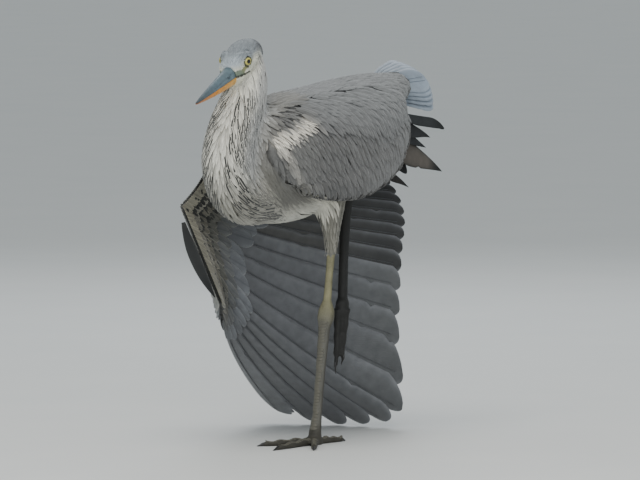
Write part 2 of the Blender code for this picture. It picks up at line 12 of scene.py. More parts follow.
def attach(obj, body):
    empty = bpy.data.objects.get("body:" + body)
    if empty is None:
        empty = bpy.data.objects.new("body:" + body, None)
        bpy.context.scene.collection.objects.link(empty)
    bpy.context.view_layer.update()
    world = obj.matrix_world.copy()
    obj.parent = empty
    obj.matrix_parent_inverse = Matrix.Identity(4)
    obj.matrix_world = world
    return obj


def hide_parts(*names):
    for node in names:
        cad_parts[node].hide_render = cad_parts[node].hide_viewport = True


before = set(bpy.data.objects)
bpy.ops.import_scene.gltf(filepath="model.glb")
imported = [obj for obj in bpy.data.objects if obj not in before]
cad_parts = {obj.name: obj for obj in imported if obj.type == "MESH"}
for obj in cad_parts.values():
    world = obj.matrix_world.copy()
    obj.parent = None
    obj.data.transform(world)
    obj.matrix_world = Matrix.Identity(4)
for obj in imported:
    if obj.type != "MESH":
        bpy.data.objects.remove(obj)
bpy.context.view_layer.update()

chance = np.random.RandomState(11)


def spot(forward, left, up):
    """A place of the bird, as a point of the scene."""
    return Vector((left, -forward, up))


UP, DOWN = Vector((0, 0, 1)), Vector((0, 0, -1))

# ---------------------------------------------------------------- the bird's own sizes

MIDLINE = -0.007
# Neck: order, forward, up, half width, half depth
NECK = ((0.0, 0.098, 0.307, 0.033, 0.036), (1.0, 0.126, 0.304, 0.034, 0.037),
        (2.0, 0.153, 0.311, 0.034, 0.037), (3.0, 0.170, 0.330, 0.033, 0.034),
        (4.0, 0.173, 0.357, 0.0315, 0.033), (5.0, 0.160, 0.385, 0.030, 0.033),
        (6.0, 0.143, 0.411, 0.028, 0.032), (7.0, 0.131, 0.441, 0.024, 0.031),
        (8.0, 0.125, 0.470, 0.014, 0.020))
NECK_TWIST = math.radians(8)       # the neck is turned a little to the bird's left
SKULL = spot(0.143, -0.010, 0.463)
HEAD_YAW = math.radians(10)
HEAD_PITCH = math.radians(16)
EYE_CENTRE = (0.0172, 0.0130, 0.0050)     # ahead, to the side, up
EYE_RADIUS = 0.0070
SOCKET_RADIUS = 0.0048
SOCKET_HEIGHT = 0.0047
SOCKET_REACH = 0.014      # how far round the eye the skin is drawn up
SOCKET_BLEND = 0.0008     # over how much height it runs into the rest
LID_RADIUS, LID_THICKNESS = 0.0049, 0.0006
BILL_ROOT = 0.022
GAPE = -0.0085

TAIL_ROOT = spot(-0.172, -0.009, 0.422)
TAIL_TIP = spot(-0.256, -0.006, 0.426)
TAIL_ROLL = math.radians(48)
TAIL_FEATHERS = 10

# Spread wing: feather rays counted from the body, thirteen tertials and secondaries to the wrist,
# then ten primaries; each tip as ray, forward, left, up
INNER = 13
FEATHERS = 23
SHOULDER = spot(0.115, -0.056, 0.384)
WRIST = spot(0.088, -0.132, 0.285)
HAND_TIP = spot(0.049, -0.102, 0.168)
TIPS = ((0.0, -0.172, -0.048, 0.372), (4.5, -0.194, -0.026, 0.315), (8.5, -0.204, -0.004, 0.267),
        (12.5, -0.198, -0.004, 0.202), (15.5, -0.203, -0.010, 0.114), (17.5, -0.222, -0.018, 0.024),
        (19.5, -0.222, -0.074, 0.0035), (21.5, -0.208, -0.142, 0.0055), (23.0, -0.180, -0.192, 0.022))
LEADING_HOLLOW = 0.012
BOW = ((0.0, 0.020), (3.0, 0.044), (8.0, 0.044), (13.0, 0.036), (23.0, 0.024))

# Folded wing from its front: forward, upper edge, lower edge
FOLDED = ((0.151, 0.374, 0.350), (0.135, 0.396, 0.326), (0.110, 0.408, 0.309),
          (0.070, 0.415, 0.299), (0.020, 0.420, 0.295), (-0.030, 0.424, 0.298),
          (-0.080, 0.425, 0.307), (-0.125, 0.421, 0.318), (-0.152, 0.408, 0.333),
          (-0.168, 0.380, 0.352))
FOLDED_KEYS = tuple((-row[0],) + row[1:] for row in FOLDED)
FOLDED_ROWS = 30          # of coverts, from the wing's front to its rear
FOLDED_LANES = 15         # from its upper edge to its lower

# Toes of the standing foot: length with claw, turned outwards in degrees; then of the hanging one:
# share of that length, place round the bundle in degrees. Middle, inner, outer, hind.
TOES = ((0.092, 0), (0.074, -37), (0.080, 32), (0.056, 172))
HANGING_TOES = ((0.94, 0), (0.94, -90), (0.94, 90), (0.96, 180))
TOE_RADIUS = 0.0052
CLAW_SHARE = 0.17
HEEL = 0.165              # height of the standing leg's heel
KNUCKLE_RIGHT = spot(-0.0850, -0.0160, 0.1630)
HANGING_END = spot(-0.0830, -0.0215, 0.078)
HANGING_RADIUS = 0.0041
HANGING_SPREAD = 0.0071
HANGING_TAPER = 0.66

BARE = ("shin_left", "tarsus_left", "shin_right", "tarsus_right") + tuple(
    "toe_%s_%s" % (toe, side) for side in ("left", "right")
    for toe in ("middle", "inner", "outer", "hind"))
FLESH = ("trunk", "neck_lower", "neck_upper", "head", "wing_left", "wing_right_arm",
         "wing_right_hand", "thigh_left", "thigh_right") + BARE
NECK_PARTS = ("neck_lower", "neck_upper")
ARM_PARTS = ("wing_right_arm", "wing_right_hand")
# How deep the plumage lies over the skin of each part
COAT_DEPTH = {"trunk": 0.0060, "neck_lower": 0.0055, "neck_upper": 0.0050, "head": 0.0022,
              "wing_left": 0.0050, "wing_right_arm": 0.0022, "wing_right_hand": 0.0016,
              "thigh_left": 0.0034, "thigh_right": 0.0040}
DEEPEST = 0.32            # the largest share of a thin edge that is plumage
SKIN_CELL = 0.0016        # size of the skin's faces
FLESH_SWELL = 0.0006      # closes the parting lines between parts
WING_SINK = 0.0035        # how far the folded wing's inner face sinks into the flank
# The furrow between back and folded wing: forward of its rear and its front, and where it starts up
VALLEY_REAR, VALLEY_FRONT, VALLEY_FLOOR = -0.150, 0.104, 0.372
VALLEY_SLICES = 32
PAD_RADIUS = 0.0084       # of the lifted foot's pad

COVERT_THICKNESS = 0.0004
FLIGHT_THICKNESS = 0.0006
SHINGLE = 0.0012          # how far one flight feather lies over the next
VANE_CAMBER = 0.0012
PATCH = 0.003             # how much of the unwrapped skin each tuft takes


# ---------------------------------------------------------------- small sums

def clamp(value, low, high):
    return min(max(value, low), high)


def unit(rows):
    """Each row of an array at length one."""
    return rows / np.maximum(np.linalg.norm(rows, axis=-1, keepdims=True), 1e-9)


def curve(keys, at):
    """Smooth values at a place along rows whose first number is the place."""
    last = len(keys) - 1
    i = 0
    while i < last - 1 and at > keys[i + 1][0]:
        i += 1
    low, high = keys[i], keys[i + 1]
    before, after = keys[max(i - 1, 0)], keys[min(i + 2, last)]
    span = high[0] - low[0]
    t = clamp((at - low[0]) / span, 0.0, 1.0)
    values = []
    for c in range(1, len(low)):
        slope_low = (high[c] - before[c]) / (high[0] - before[0])
        slope_high = (after[c] - low[c]) / (after[0] - low[0])
        values.append((2 * t**3 - 3 * t**2 + 1) * low[c] + (t**3 - 2 * t**2 + t) * span * slope_low
                      + (3 * t**2 - 2 * t**3) * high[c] + (t**3 - t**2) * span * slope_high)
    return values


def soft(value, start, end):
    """0 before start, 1 after end, smooth between; works on arrays and with start above end."""
    t = np.clip((np.asarray(value, float) - start) / (end - start), 0, 1)
    return t * t * (3 - 2 * t)


def head_frame():
    """Turns (side, -ahead, up) of the head into the bird's own X, Y, Z."""
    turn = Matrix.Rotation(HEAD_YAW, 4, "Z") @ Matrix.Rotation(HEAD_PITCH, 4, "X")
    return Matrix.Translation(SKULL) @ turn


def in_head(points):
    """Each point as ahead, side and up in the head's own frame."""
    inverse = np.array(head_frame().inverted())
    local = points @ inverse[:3, :3].T + inverse[:3, 3]
    return -local[:, 1], local[:, 0], local[:, 2]


def head_spot(ahead, side, up):
    return head_frame() @ Vector((side, -ahead, up))


# ---------------------------------------------------------------- finishes

def colour(code):
    """An sRGB hex value as linear red, green, blue."""
    parts = [int(code[i:i + 2], 16) / 255 for i in (1, 3, 5)]
    return tuple(c / 12.92 if c <= 0.04045 else ((c + 0.055) / 1.055) ** 2.4 for c in parts)


def rgba(code):
    return (*colour(code), 1.0)


def paint(code):
    """A colour as an array."""
    return np.array(colour(code))


def add_node(material, kind, inputs=(), **settings):
    """Adds a node; inputs maps its sockets to values or to what feeds them, settings its properties."""
    node = material.node_tree.nodes.new("ShaderNode" + kind)
    for key, value in settings.items():
        setattr(node, key, value)
    for key, value in dict(inputs).items():
        if isinstance(value, bpy.types.NodeSocket):
            material.node_tree.links.new(value, node.inputs[key])
        else:
            node.inputs[key].default_value = value
    return node


def new_material(name, roughness, code=None, **values):
    """A material and its shader, plain if it is given a colour; the values name other sockets."""
    material = bpy.data.materials.new(name)
    material.use_nodes = True
    shader = material.node_tree.nodes["Principled BSDF"]
    shader.inputs["Roughness"].default_value = roughness
    if code is not None:
        shader.inputs["Base Color"].default_value = rgba(code)
    for key, value in values.items():
        shader.inputs[key.replace("_", " ")].default_value = value
    return material, shader


def join(material, shader, socket, output):
    material.node_tree.links.new(output, shader.inputs[socket])


def colour_stops(ramp, first, last, *between):
    """Colours a ramp: its two ends, and the stops between them with their places."""
    stops = ramp.color_ramp.elements
    stops[0].color, stops[1].color = rgba(first), rgba(last)
    for place, code in between:
        stops.new(place).color = rgba(code)


def plumage_material(name, barbs, barb_depth, shaft, root_shade_and_rim=0.25, roughness=0.82, bloom=0.25):
    """Feather keratin: tinted by each vane's own colour, darker along the shaft, with painted shade
    towards its covered root, paler at its loose rim, lined by barbs.

    The barbs of a real vane are 0.3 mm apart; here they are coarser, so that they show."""
    material, shader = new_material(name, roughness, Sheen_Weight=bloom, Sheen_Roughness=0.5,
                                    Specular_IOR_Level=0.25)
    tint = add_node(material, "Attribute", attribute_name="tint")
    mark = add_node(material, "Attribute", attribute_name="mark")
    vane = add_node(material, "UVMap", uv_map="vane")
    axes = add_node(material, "SeparateXYZ", {"Vector": vane.outputs["UV"]})
    along = axes.outputs["Y"]
    off = add_node(material, "Math", {0: axes.outputs["X"], 1: 0.5}, operation="SUBTRACT")
    away = add_node(material, "Math", {0: off.outputs[0]}, operation="ABSOLUTE").outputs[0]
    # a marked feather has a dark streak that ends short of its tip, any other only its shaft
    streak = add_node(material, "MapRange", {"Value": away, "From Min": 0.30, "From Max": 0.17},
                      interpolation_type="SMOOTHSTEP")
    stop = add_node(material, "MapRange", {"Value": along, "From Min": 0.97, "From Max": 0.86},
                    interpolation_type="SMOOTHSTEP")
    short = add_node(material, "Math", {0: streak.outputs["Result"], 1: stop.outputs["Result"]},
                     operation="MULTIPLY")
    marked = add_node(material, "Math", {0: short.outputs[0], 1: mark.outputs["Fac"]},
                      operation="MULTIPLY")
    shaft_line = add_node(material, "MapRange", {"Value": away, "From Min": 0.07, "From Max": 0.02,
                                                 "To Max": shaft}, interpolation_type="SMOOTHSTEP")
    dark = add_node(material, "Math", {0: marked.outputs[0], 1: shaft_line.outputs["Result"]},
                    operation="MAXIMUM")
    # cloudy tone, 11 mm across
    place = add_node(material, "TexCoord")
    mottle = add_node(material, "TexNoise", {"Vector": place.outputs["Object"], "Scale": 90.0,
                                             "Detail": 3.0})
    shade = add_node(material, "MapRange", {"Value": mottle.outputs["Fac"], "From Min": 0.3,
                                            "From Max": 0.7, "To Min": 0.86, "To Max": 1.12})
    # painted shade darkens the covered root; the loose rim is paler, the vane's own pale edge
    root = add_node(material, "MapRange", {"Value": along, "From Min": 0.35, "From Max": 0.95,
                                           "To Min": 1.0 - root_shade_and_rim}, interpolation_type="SMOOTHSTEP")
    rim = add_node(material, "MapRange", {"Value": away, "From Min": 0.25, "From Max": 0.5,
                                          "To Min": 1.0, "To Max": 1.0 + root_shade_and_rim * 0.6},
                   interpolation_type="SMOOTHSTEP")
    rooted = add_node(material, "Math", {0: root.outputs["Result"], 1: shade.outputs["Result"]},
                      operation="MULTIPLY")
    rimmed = add_node(material, "Math", {0: rooted.outputs[0], 1: rim.outputs["Result"]},
                      operation="MULTIPLY")
    toned = add_node(material, "Mix", {"Factor": 1.0, 6: tint.outputs["Color"],
                                       7: rimmed.outputs[0]}, data_type="RGBA", blend_type="MULTIPLY")
    full = add_node(material, "Mix", {0: dark.outputs[0], 6: toned.outputs[2], 7: rgba("#2c2d2d")},
                    data_type="RGBA")
    # barbs leave the shaft at about 40 degrees
    lean = add_node(material, "Math", {0: away, 1: -0.6, 2: along}, operation="MULTIPLY_ADD")
    lines = add_node(material, "Math", {0: lean.outputs[0], 1: barbs}, operation="MULTIPLY")
    wave = add_node(material, "Math", {0: lines.outputs[0]}, operation="SINE")
    bump = add_node(material, "Bump", {"Strength": barb_depth, "Distance": 0.0004,
                                       "Height": wave.outputs[0]})
    join(material, shader, "Base Color", full.outputs[2])
    join(material, shader, "Normal", bump.outputs["Normal"])
    return material


# ---------------------------------------------------------------- small making tools

def deselect():
    if bpy.context.mode != "OBJECT":
        bpy.ops.object.mode_set(mode="OBJECT")
    bpy.ops.object.select_all(action="DESELECT")


def make_active(obj):
    deselect()
    obj.select_set(True)
    bpy.context.view_layer.objects.active = obj


def apply_modifier(obj, kind, **settings):
    modifier = obj.modifiers.new(kind.lower(), kind)
    for key, value in settings.items():
        setattr(modifier, key, value)
    make_active(obj)
    bpy.ops.object.modifier_apply(modifier=modifier.name)


def add_object(name, data):
    """A new object in the scene, of a mesh, a light or a camera."""
    obj = bpy.data.objects.new(name, data)
    bpy.context.scene.collection.objects.link(obj)
    return obj


def object_from(name, points, faces, material):
    mesh = bpy.data.meshes.new(name)
    mesh.from_pydata([tuple(p) for p in points], [], [tuple(f) for f in faces])
    mesh.update()
    mesh.shade_smooth()
    mesh.materials.append(material)
    return add_object(name, mesh)


def take_shape(obj):
    """A made object's points and faces; the object itself goes."""
    points = [v.co.copy() for v in obj.data.vertices]
    faces = [tuple(p.vertices) for p in obj.data.polygons]
    bpy.data.objects.remove(obj)
    return points, faces


def add_part(points, faces, more_points, more_faces):
    """Adds a part's points and faces to those of the whole."""
    base = len(points)
    points += more_points
    faces += [tuple(base + i for i in face) for face in more_faces]


def finish_piece(obj, slot_name, *nodes):
    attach(obj, "root")
    if nodes:
        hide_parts(*nodes)


def edit_whole(obj, *steps):
    """Takes steps of mesh editing, each on the whole object and with its settings."""
    make_active(obj)
    bpy.ops.object.mode_set(mode="EDIT")
    for step, settings in steps:
        bpy.ops.mesh.select_all(action="SELECT")
        step(**settings)
    bpy.ops.object.mode_set(mode="OBJECT")


def outward(obj):
    """Turns every face of a closed piece outwards."""
    edit_whole(obj, (bpy.ops.mesh.normals_make_consistent, {"inside": False}))


def read(rows, name, width=1, kind=float):
    """One value of every vertex, edge or corner of a mesh, as an array."""
    flat = np.zeros(len(rows) * width, kind)
    rows.foreach_get(name, flat)
    return flat.reshape(-1, width) if width > 1 else flat


def put_attributes(mesh, tint, marks):
    """Keeps a colour and the strength of its marks at each vertex, for the finish."""
    put_values(mesh, "tint", tint)
    put_values(mesh, "mark", marks)


def put_values(mesh, name, values):
    values = np.asarray(values, float)
    if values.ndim == 2:
        layer = mesh.attributes.new(name, "FLOAT_COLOR", "POINT")
        layer.data.foreach_set("color", np.column_stack([values, np.ones(len(values))]).ravel())
    else:
        layer = mesh.attributes.new(name, "FLOAT", "POINT")
        layer.data.foreach_set("value", values)


def put_map(mesh, name, u, v):
    """A UV map from one pair of values for each vertex."""
    layer = mesh.uv_layers.new(name=name)
    corner = read(mesh.loops, "vertex_index", kind=int)
    layer.data.foreach_set("uv", np.column_stack([u[corner], v[corner]]).ravel())


def nearest(targets, points):
    """For each point, the number of the target nearest to it."""
    tree = KDTree(len(targets))
    for i, place in enumerate(targets):
        tree.insert(Vector(place), i)
    tree.balance()
    return np.array([tree.find(Vector(p))[1] for p in points])


# ---------------------------------------------------------------- the skin

def absorb(whole, part):
    """Adds one bmesh to another."""
    mesh = bpy.data.meshes.new("part")
    part.to_mesh(mesh)
    whole.from_mesh(mesh)
    bpy.data.meshes.remove(mesh)


def only_vertices(geometry):
    return [g for g in geometry if isinstance(g, bmesh.types.BMVert)]


def fill_valley(bm, parts):
    """Fills the furrow between the back and the folded wing, which the scapulars bridge."""
    slices = []
    for forward in np.linspace(VALLEY_REAR, VALLEY_FRONT, VALLEY_SLICES):
        outline = []
        for part in parts:
            copy = part.copy()
            cut = bmesh.ops.bisect_plane(copy, geom=copy.verts[:] + copy.edges[:] + copy.faces[:],
                                         plane_co=(0, -forward, 0), plane_no=(0, 1, 0))
            outline += [v.co.copy() for v in only_vertices(cut["geom_cut"]) if v.co.z > VALLEY_FLOOR]
            copy.free()
        slices.append(outline)
    for near, far in zip(slices, slices[1:]):
        hull = bmesh.new()
        for point in near + far:
            hull.verts.new(point)
        made = bmesh.ops.convex_hull(hull, input=hull.verts[:])
        inner = set(only_vertices(made["geom_interior"] + made["geom_unused"]))
        bmesh.ops.delete(hull, geom=list(inner), context="VERTS")
        absorb(bm, hull)
        hull.free()


def flesh_union():
    """Every part of flesh as one mesh, swollen a little so that the parting lines close."""
    bm = bmesh.new()
    furrowed = []
    for name in FLESH:
        part = bmesh.new()
        part.from_mesh(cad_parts[name].data)
        bmesh.ops.remove_doubles(part, verts=part.verts, dist=1e-6)
        bmesh.ops.recalc_face_normals(part, faces=part.faces)
        if name == "wing_left":      # so no gap is left
            bmesh.ops.translate(part, verts=part.verts, vec=(-WING_SINK, 0, 0))
        part.normal_update()
        if name not in BARE:
            for vertex in part.verts:
                vertex.co += vertex.normal * FLESH_SWELL
        absorb(bm, part)
        if name in ("trunk", "wing_left"):
            furrowed.append(part)
        else:
            part.free()
    fill_valley(bm, furrowed)
    along = (HANGING_END - KNUCKLE_RIGHT).normalized()
    for step in (0.001, 0.006, 0.011):        # the pad that the lifted foot's toes come out of
        bmesh.ops.create_icosphere(bm, subdivisions=3, radius=PAD_RADIUS,
                                   matrix=Matrix.Translation(KNUCKLE_RIGHT + along * step))
    mesh = bpy.data.meshes.new("skin")
    bm.to_mesh(mesh)
    bm.free()
    return add_object("skin", mesh)


def spread(values, edges, rounds):
    """Each round gives a vertex the mean of itself and its neighbours."""
    count = len(values)
    values = np.asarray(values, float).reshape(count, -1).copy()
    weight = np.bincount(edges.ravel(), minlength=count) + 1.0
    for _ in range(rounds):
        for c in range(values.shape[1]):
            column = values[:, c]
            total = (np.bincount(edges[:, 0], weights=column[edges[:, 1]], minlength=count)
                     + np.bincount(edges[:, 1], weights=column[edges[:, 0]], minlength=count))
            values[:, c] = (total + column) / weight
    return values if values.shape[1] > 1 else values[:, 0]


def nearest_flesh(points):
    """For each point, which part of flesh it belongs to."""
    corners, faces, owner = [], [], []
    for number, name in enumerate(FLESH):
        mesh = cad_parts[name].data
        add_part(corners, faces, [v.co.copy() for v in mesh.vertices],
                 [p.vertices for p in mesh.polygons])
        owner += [number] * len(mesh.polygons)
    tree = BVHTree.FromPolygons(corners, faces)
    return np.array([owner[tree.find_nearest(Vector(p))[2]] for p in points])


def eye_gaze(way):
    """Middle of an eye and the way it looks; way is 1 for the left."""
    ahead, side, up = EYE_CENTRE
    centre = head_spot(ahead, way * side, up)
    return centre, (head_spot(ahead + 0.45, way * (side + 0.90), up + 0.06) - centre).normalized()


def raise_socket(places, way):
    """Draws the skin up round an eyeball to its lids, and down behind it within them."""
    centre, gaze = (np.array(v) for v in eye_gaze(way))
    off = places - centre
    height = off @ gaze
    away = np.linalg.norm(off - height[:, None] * gaze, axis=1)
    near = (away < SOCKET_REACH) & (height > -0.004)
    rim = SOCKET_HEIGHT - 0.62 * np.maximum(away - SOCKET_RADIUS, 0.0)
    raised = np.logaddexp(height / SOCKET_BLEND, rim / SOCKET_BLEND) * SOCKET_BLEND
    raised = np.where(away < SOCKET_RADIUS - 0.0006, np.minimum(height, 0.0020), raised)
    move = np.where(near, raised - height, 0.0)
    return places + move[:, None] * gaze


class Skin:
    """The skin's mesh and what is known at each of its vertices."""

    def __init__(self):
        self.obj = flesh_union()
        apply_modifier(self.obj, "REMESH", mode="VOXEL", voxel_size=SKIN_CELL, adaptivity=0.0)
        mesh = self.obj.data
        raw = read(mesh.vertices, "co", 3)
        self.edges = read(mesh.edges, "vertices", 2, int)
        self.part = nearest_flesh(raw)
        self.legs = self.on(*BARE)
        depth = np.array([COAT_DEPTH.get(FLESH[i], 0.0) for i in self.part])
        depth *= 1 - 1.25 * soft(in_head(raw)[0], 0.010, 0.032) * self.on("head")
        depth = spread(depth, self.edges, 6)
        depth[self.legs] = np.minimum(depth[self.legs], 0.0002)
        # feathered parts are softened most; bare legs keep their shape
        feathered = spread(~self.legs, self.edges, 3)[:, None]
        firm, rounded = (spread(raw, self.edges, rounds) for rounds in (2, 14))
        places = self.reshape(firm * (1 - feathered) + rounded * feathered)
        normals = self.read_normals()
        room = self.room(places, normals, np.flatnonzero(depth > 0.001))
        depth = np.minimum(depth, spread(np.minimum(depth, room * DEEPEST), self.edges, 4))
        places = places - normals * depth[:, None]
        for way in (1, -1):
            places = raise_socket(places, way)
        self.place = self.reshape(places)
        mesh.shade_smooth()
        self.normal = unit(spread(self.read_normals(), self.edges, 3))
        self.tree = self.tree_over(places)
        self.first_corner = [p.vertices[0] for p in mesh.polygons]
        self.forward, self.left, self.up = -places[:, 1], places[:, 0], places[:, 2]

    def reshape(self, places):
        self.obj.data.vertices.foreach_set("co", places.ravel())
        self.obj.data.update()
        return places

    def read_normals(self):
        return read(self.obj.data.vertex_normals, "vector", 3)

    def tree_over(self, places):
        return BVHTree.FromPolygons([Vector(p) for p in places],
                                    [p.vertices[:] for p in self.obj.data.polygons])

    def room(self, places, normals, chosen, reach=0.03):
        """How thick the flesh is under each chosen place, up to a reach."""
        tree = self.tree_over(places)
        room = np.full(len(places), 1.0)
        for i in chosen:
            inward = Vector(-normals[i])
            distance = tree.ray_cast(Vector(places[i]) + inward * 0.0002, inward, reach)[3]
            room[i] = reach if distance is None else distance
        return room

    def on(self, *names):
        """Which vertices belong to any of the named parts."""
        return np.isin(self.part, [FLESH.index(n) for n in names])

    def unwrap(self):
        """Lays the skin's own shape flat, for the map that each tuft takes its patch from."""
        edit_whole(self.obj, (bpy.ops.uv.smart_project,
                              {"angle_limit": math.radians(66), "island_margin": 0.004}))
        mesh = self.obj.data
        mesh.uv_layers[0].name = "OFBake"
        self.flat_place = np.zeros((len(mesh.vertices), 2))
        corner = read(mesh.loops, "vertex_index", kind=int)
        self.flat_place[corner] = read(mesh.uv_layers[0].data, "uv", 2)


# ---------------------------------------------------------------- how the plumage lies

def along_neck(points):
    """For each point: its order along the neck, the angle round it, 0 at the front, and the way on."""
    orders = np.linspace(NECK[0][0], NECK[-1][0], 81)
    centres = np.array([spot(forward, MIDLINE, up)
                        for forward, up, *_ in (curve(NECK, at) for at in orders)])
    ahead = unit(np.gradient(centres, axis=0))
    found = nearest(centres, points)
    side = np.array((1.0, 0.0, 0.0))
    front = -np.cross(ahead, side)
    offset = points - centres[found]
    around = np.arctan2(offset @ side, np.einsum("ij,ij->i", offset, front[found]))
    return orders[found], around, ahead[found]


def feather_lie(skin):
    """The way the plumage points at every vertex of the skin, along the surface."""
    skin.order, skin.around, ahead = along_neck(skin.place)
    skin.ahead, _, skin.above = in_head(skin.place)
    count = len(skin.place)
    backward = np.tile((0.0, 1.0, 0.0), (count, 1))
    down = np.tile((0.0, 0.0, -1.0), (count, 1))
    lie = backward + down * (0.18 + 0.9 * soft(skin.forward, 0.06, 0.15))[:, None]
    # down the neck, parting from its midline
    neck = skin.on(*NECK_PARTS)
    parting = np.zeros((count, 3))
    parting[:, 0] = (np.sin(skin.around - NECK_TWIST)
                     * (0.50 + 0.35 * soft(skin.order, 5.9, 5.2)))
    lie[neck] = (-ahead + parting)[neck]
    # over the head away from the bill's base, then down the nape
    head = skin.on("head")
    from_bill = unit(skin.place - np.array(head_spot(0.046, 0.0, -0.006)))
    nape = soft(skin.ahead, -0.012, -0.034)[:, None]
    lie[head] = (from_bill * (1 - nape) + (-ahead) * nape)[head]
    slope = 1.45 - 0.50 * soft(skin.forward, 0.05, -0.13) - 0.55 * soft(skin.up, 0.385, 0.418)
    wing = skin.on("wing_left")
    lie[wing] = (backward + down * slope[:, None])[wing]
    lie[skin.on("thigh_left")] = (0.0, 0.05, -1.0)
    lie[skin.on("thigh_right")] = (0.0, 0.9, -0.45)
    lie[skin.on(*ARM_PARTS)] = (0.15, 0.80, -0.75)
    lie[skin.legs] = (0.0, 0.0, -1.0)
    lie = spread(unit(lie), skin.edges, 30)
    skin.lie = unit(lie - skin.normal * np.einsum("ij,ij->i", lie, skin.normal)[:, None])


# ---------------------------------------------------------------- the plumage's colours

CROWN, FOREHEAD, CHEEK = "#8f979c", "#a9b3b9", "#dedecc"
THROAT, NAPE_WHITE, CREST = "#e4e2ce", "#e2e4e0", "#33383c"
NECK_SIDE, NECK_FRONT, NECK_BACK = "#abaca9", "#e1dfd3", "#a0a2a0"
BREAST, FLANK, BELLY = "#63625c", "#cac7b9", "#b9b8ad"
NECK_FOOT = "#99978d"
BACK, WING_COVERT, WING_LOW, WRIST_BUFF = "#757777", "#5e5e5d", "#4a4a49", "#f3eddf"
WING_FRONT, SHOULDER_GREY = "#696967", "#75746f"
# THIGH_SHADE is painted shade: the far thigh's plumage, darker than the near one
THIGH_WHITE, THIGH_SHADE = "#88867c", "#4c4e50"
# UNDER_ARM_SHADE is painted shade: the spread wing's underside at its arm, near black
UNDER_ARM_SHADE = "#2b2c2a"
LORE, EYE_LINE, EYE_RING, MOUTH = "#83845a", "#6c7768", "#4a4d3a", "#2b2d26"


def mix(base, code, weight):
    """Lays a colour over an array of colours, by a weight for each."""
    return base * (1 - weight[:, None]) + paint(code) * weight[:, None]


def lay_over(tint, chosen, *layers):
    """Lays colours one after another over the chosen vertices, each by its weight."""
    for code, weight in layers:
        tint = mix(tint, code, weight * chosen)
    return tint


# The pale fluffy line on the folded wing's front: forward, up, half width, strength
FRINGE_LINE = ((0.086, 0.390, 0.0062, 1.0), (0.140, 0.371, 0.0060, 0.9), (0.128, 0.352, 0.0044, 0.24),
               (0.108, 0.326, 0.0034, 0.20))


def wrist_fringe(skin):
    """Where the folded wing's pale fluffy fringe is: across its front, and along its lower front."""
    here = np.column_stack([skin.forward, skin.up])
    breaks = np.array([noise.noise(Vector(p) * 170.0) for p in skin.place])
    most = np.zeros(len(here))
    for near, far in zip(FRINGE_LINE, FRINGE_LINE[1:]):
        near, far = np.array(near), np.array(far)
        run = far[:2] - near[:2]
        share = np.clip((here - near[:2]) @ run / (run @ run), 0, 1)
        off = np.linalg.norm(here - near[:2] - share[:, None] * run, axis=1)
        width, strength = (near[k] + (far[k] - near[k]) * share for k in (2, 3))
        width = width * (1 + 0.5 * breaks)
        most = np.maximum(most, strength * np.clip((width - off) / (width * 0.45) + 0.3, 0, 1))
    return most * skin.on("wing_left") * np.clip(1 + 0.5 * breaks, 0, 1)


def nape_crest(skin):
    """The young bird's short dark crest, along each side of the crown's rear."""
    along = soft(skin.ahead, 0.004, -0.018) * soft(skin.ahead, -0.040, -0.032)
    line = 0.0125 - 0.06 * (skin.ahead + 0.02)
    return along * soft(np.abs(skin.above - line), 0.0055, 0.0025) * skin.on("head")


def plumage_colours(skin):
    """The skin's and the coat's colour at every vertex, and how strongly feathers are marked."""
    skin.fringe, skin.crest = wrist_fringe(skin), nape_crest(skin)
    forward, up, ahead, above = skin.forward, skin.up, skin.ahead, skin.above
    tint = np.tile(paint(BACK), (len(skin.place), 1))
    front = soft(forward, 0.060, 0.090)
    tint = lay_over(tint, skin.on("trunk"), (FLANK, soft(up, 0.385, 0.330)),
                    (BELLY, soft(up, 0.310, 0.280)), (BREAST, front * soft(up, 0.285, 0.31)),
                    (SHOULDER_GREY, front * soft(up, 0.34, 0.36)))
    neck = skin.on(*NECK_PARTS)
    turned = np.abs(skin.around - NECK_TWIST)
    tint = lay_over(tint, neck, (NECK_SIDE, 1.0), (NECK_FRONT, soft(turned, 1.25, 0.55)),
                    (NECK_BACK, soft(np.abs(skin.around), 2.0, 2.7)),
                    (NECK_FOOT, soft(skin.order, 4.2, 2.4)))
    head = skin.on("head")
    crown = soft(above, 0.003, 0.009) * soft(ahead, -0.036, -0.024)
    tint = lay_over(tint, head, (CHEEK, 1.0), (THROAT, soft(above, -0.004, -0.014)),
                    (NAPE_WHITE, soft(ahead, -0.014, -0.026)), (CROWN, crown),
                    (FOREHEAD, soft(ahead, 0.020, 0.034) * soft(above, 0.0, 0.004)),
                    (CREST, 0.85 * skin.crest))
    tint = lay_over(tint, skin.on("wing_left"), (WING_COVERT, 1.0), (BACK, soft(up, 0.372, 0.420)),
                    (WING_LOW, soft(up, 0.335, 0.305)), (WING_FRONT, soft(forward, 0.070, 0.100)),
                    (WRIST_BUFF, skin.fringe))
    # painted shade: the far thigh is darkened
    for code, *parts in ((THIGH_WHITE, "thigh_left"), (THIGH_SHADE, "thigh_right"),
                         (UNDER_ARM_SHADE, *ARM_PARTS)):
        tint = lay_over(tint, skin.on(*parts), (code, 1.0))
    skin.tint = spread(tint, skin.edges, 5)
    # the foreneck's pencilled rows, thick beside the midline and finer round the sides
    rows = soft(turned, 0.15, 0.26) * soft(turned, 1.15, 0.75)
    fine = soft(turned, 0.6, 0.8) * soft(turned, 2.0, 1.4) * 0.55
    marks = np.maximum(rows, fine) * soft(skin.order, 6.9, 6.2)
    # one bold line leads into them from below the cheek, and forks round a plain band
    line = 0.42 + 0.125 * np.maximum(skin.order - 5.0, 0) - 0.10 * np.minimum(skin.order - 4.6, 0)
    bold = soft(np.abs(np.abs(skin.around) - line), 0.11, 0.05)
    bold = bold * (soft(skin.order, 6.5, 6.2) * soft(skin.order, 3.6, 4.2))
    skin.mark = np.maximum(np.maximum(marks, bold) * neck, 0.30 * crown * head)


# ---------------------------------------------------------------- small feathers

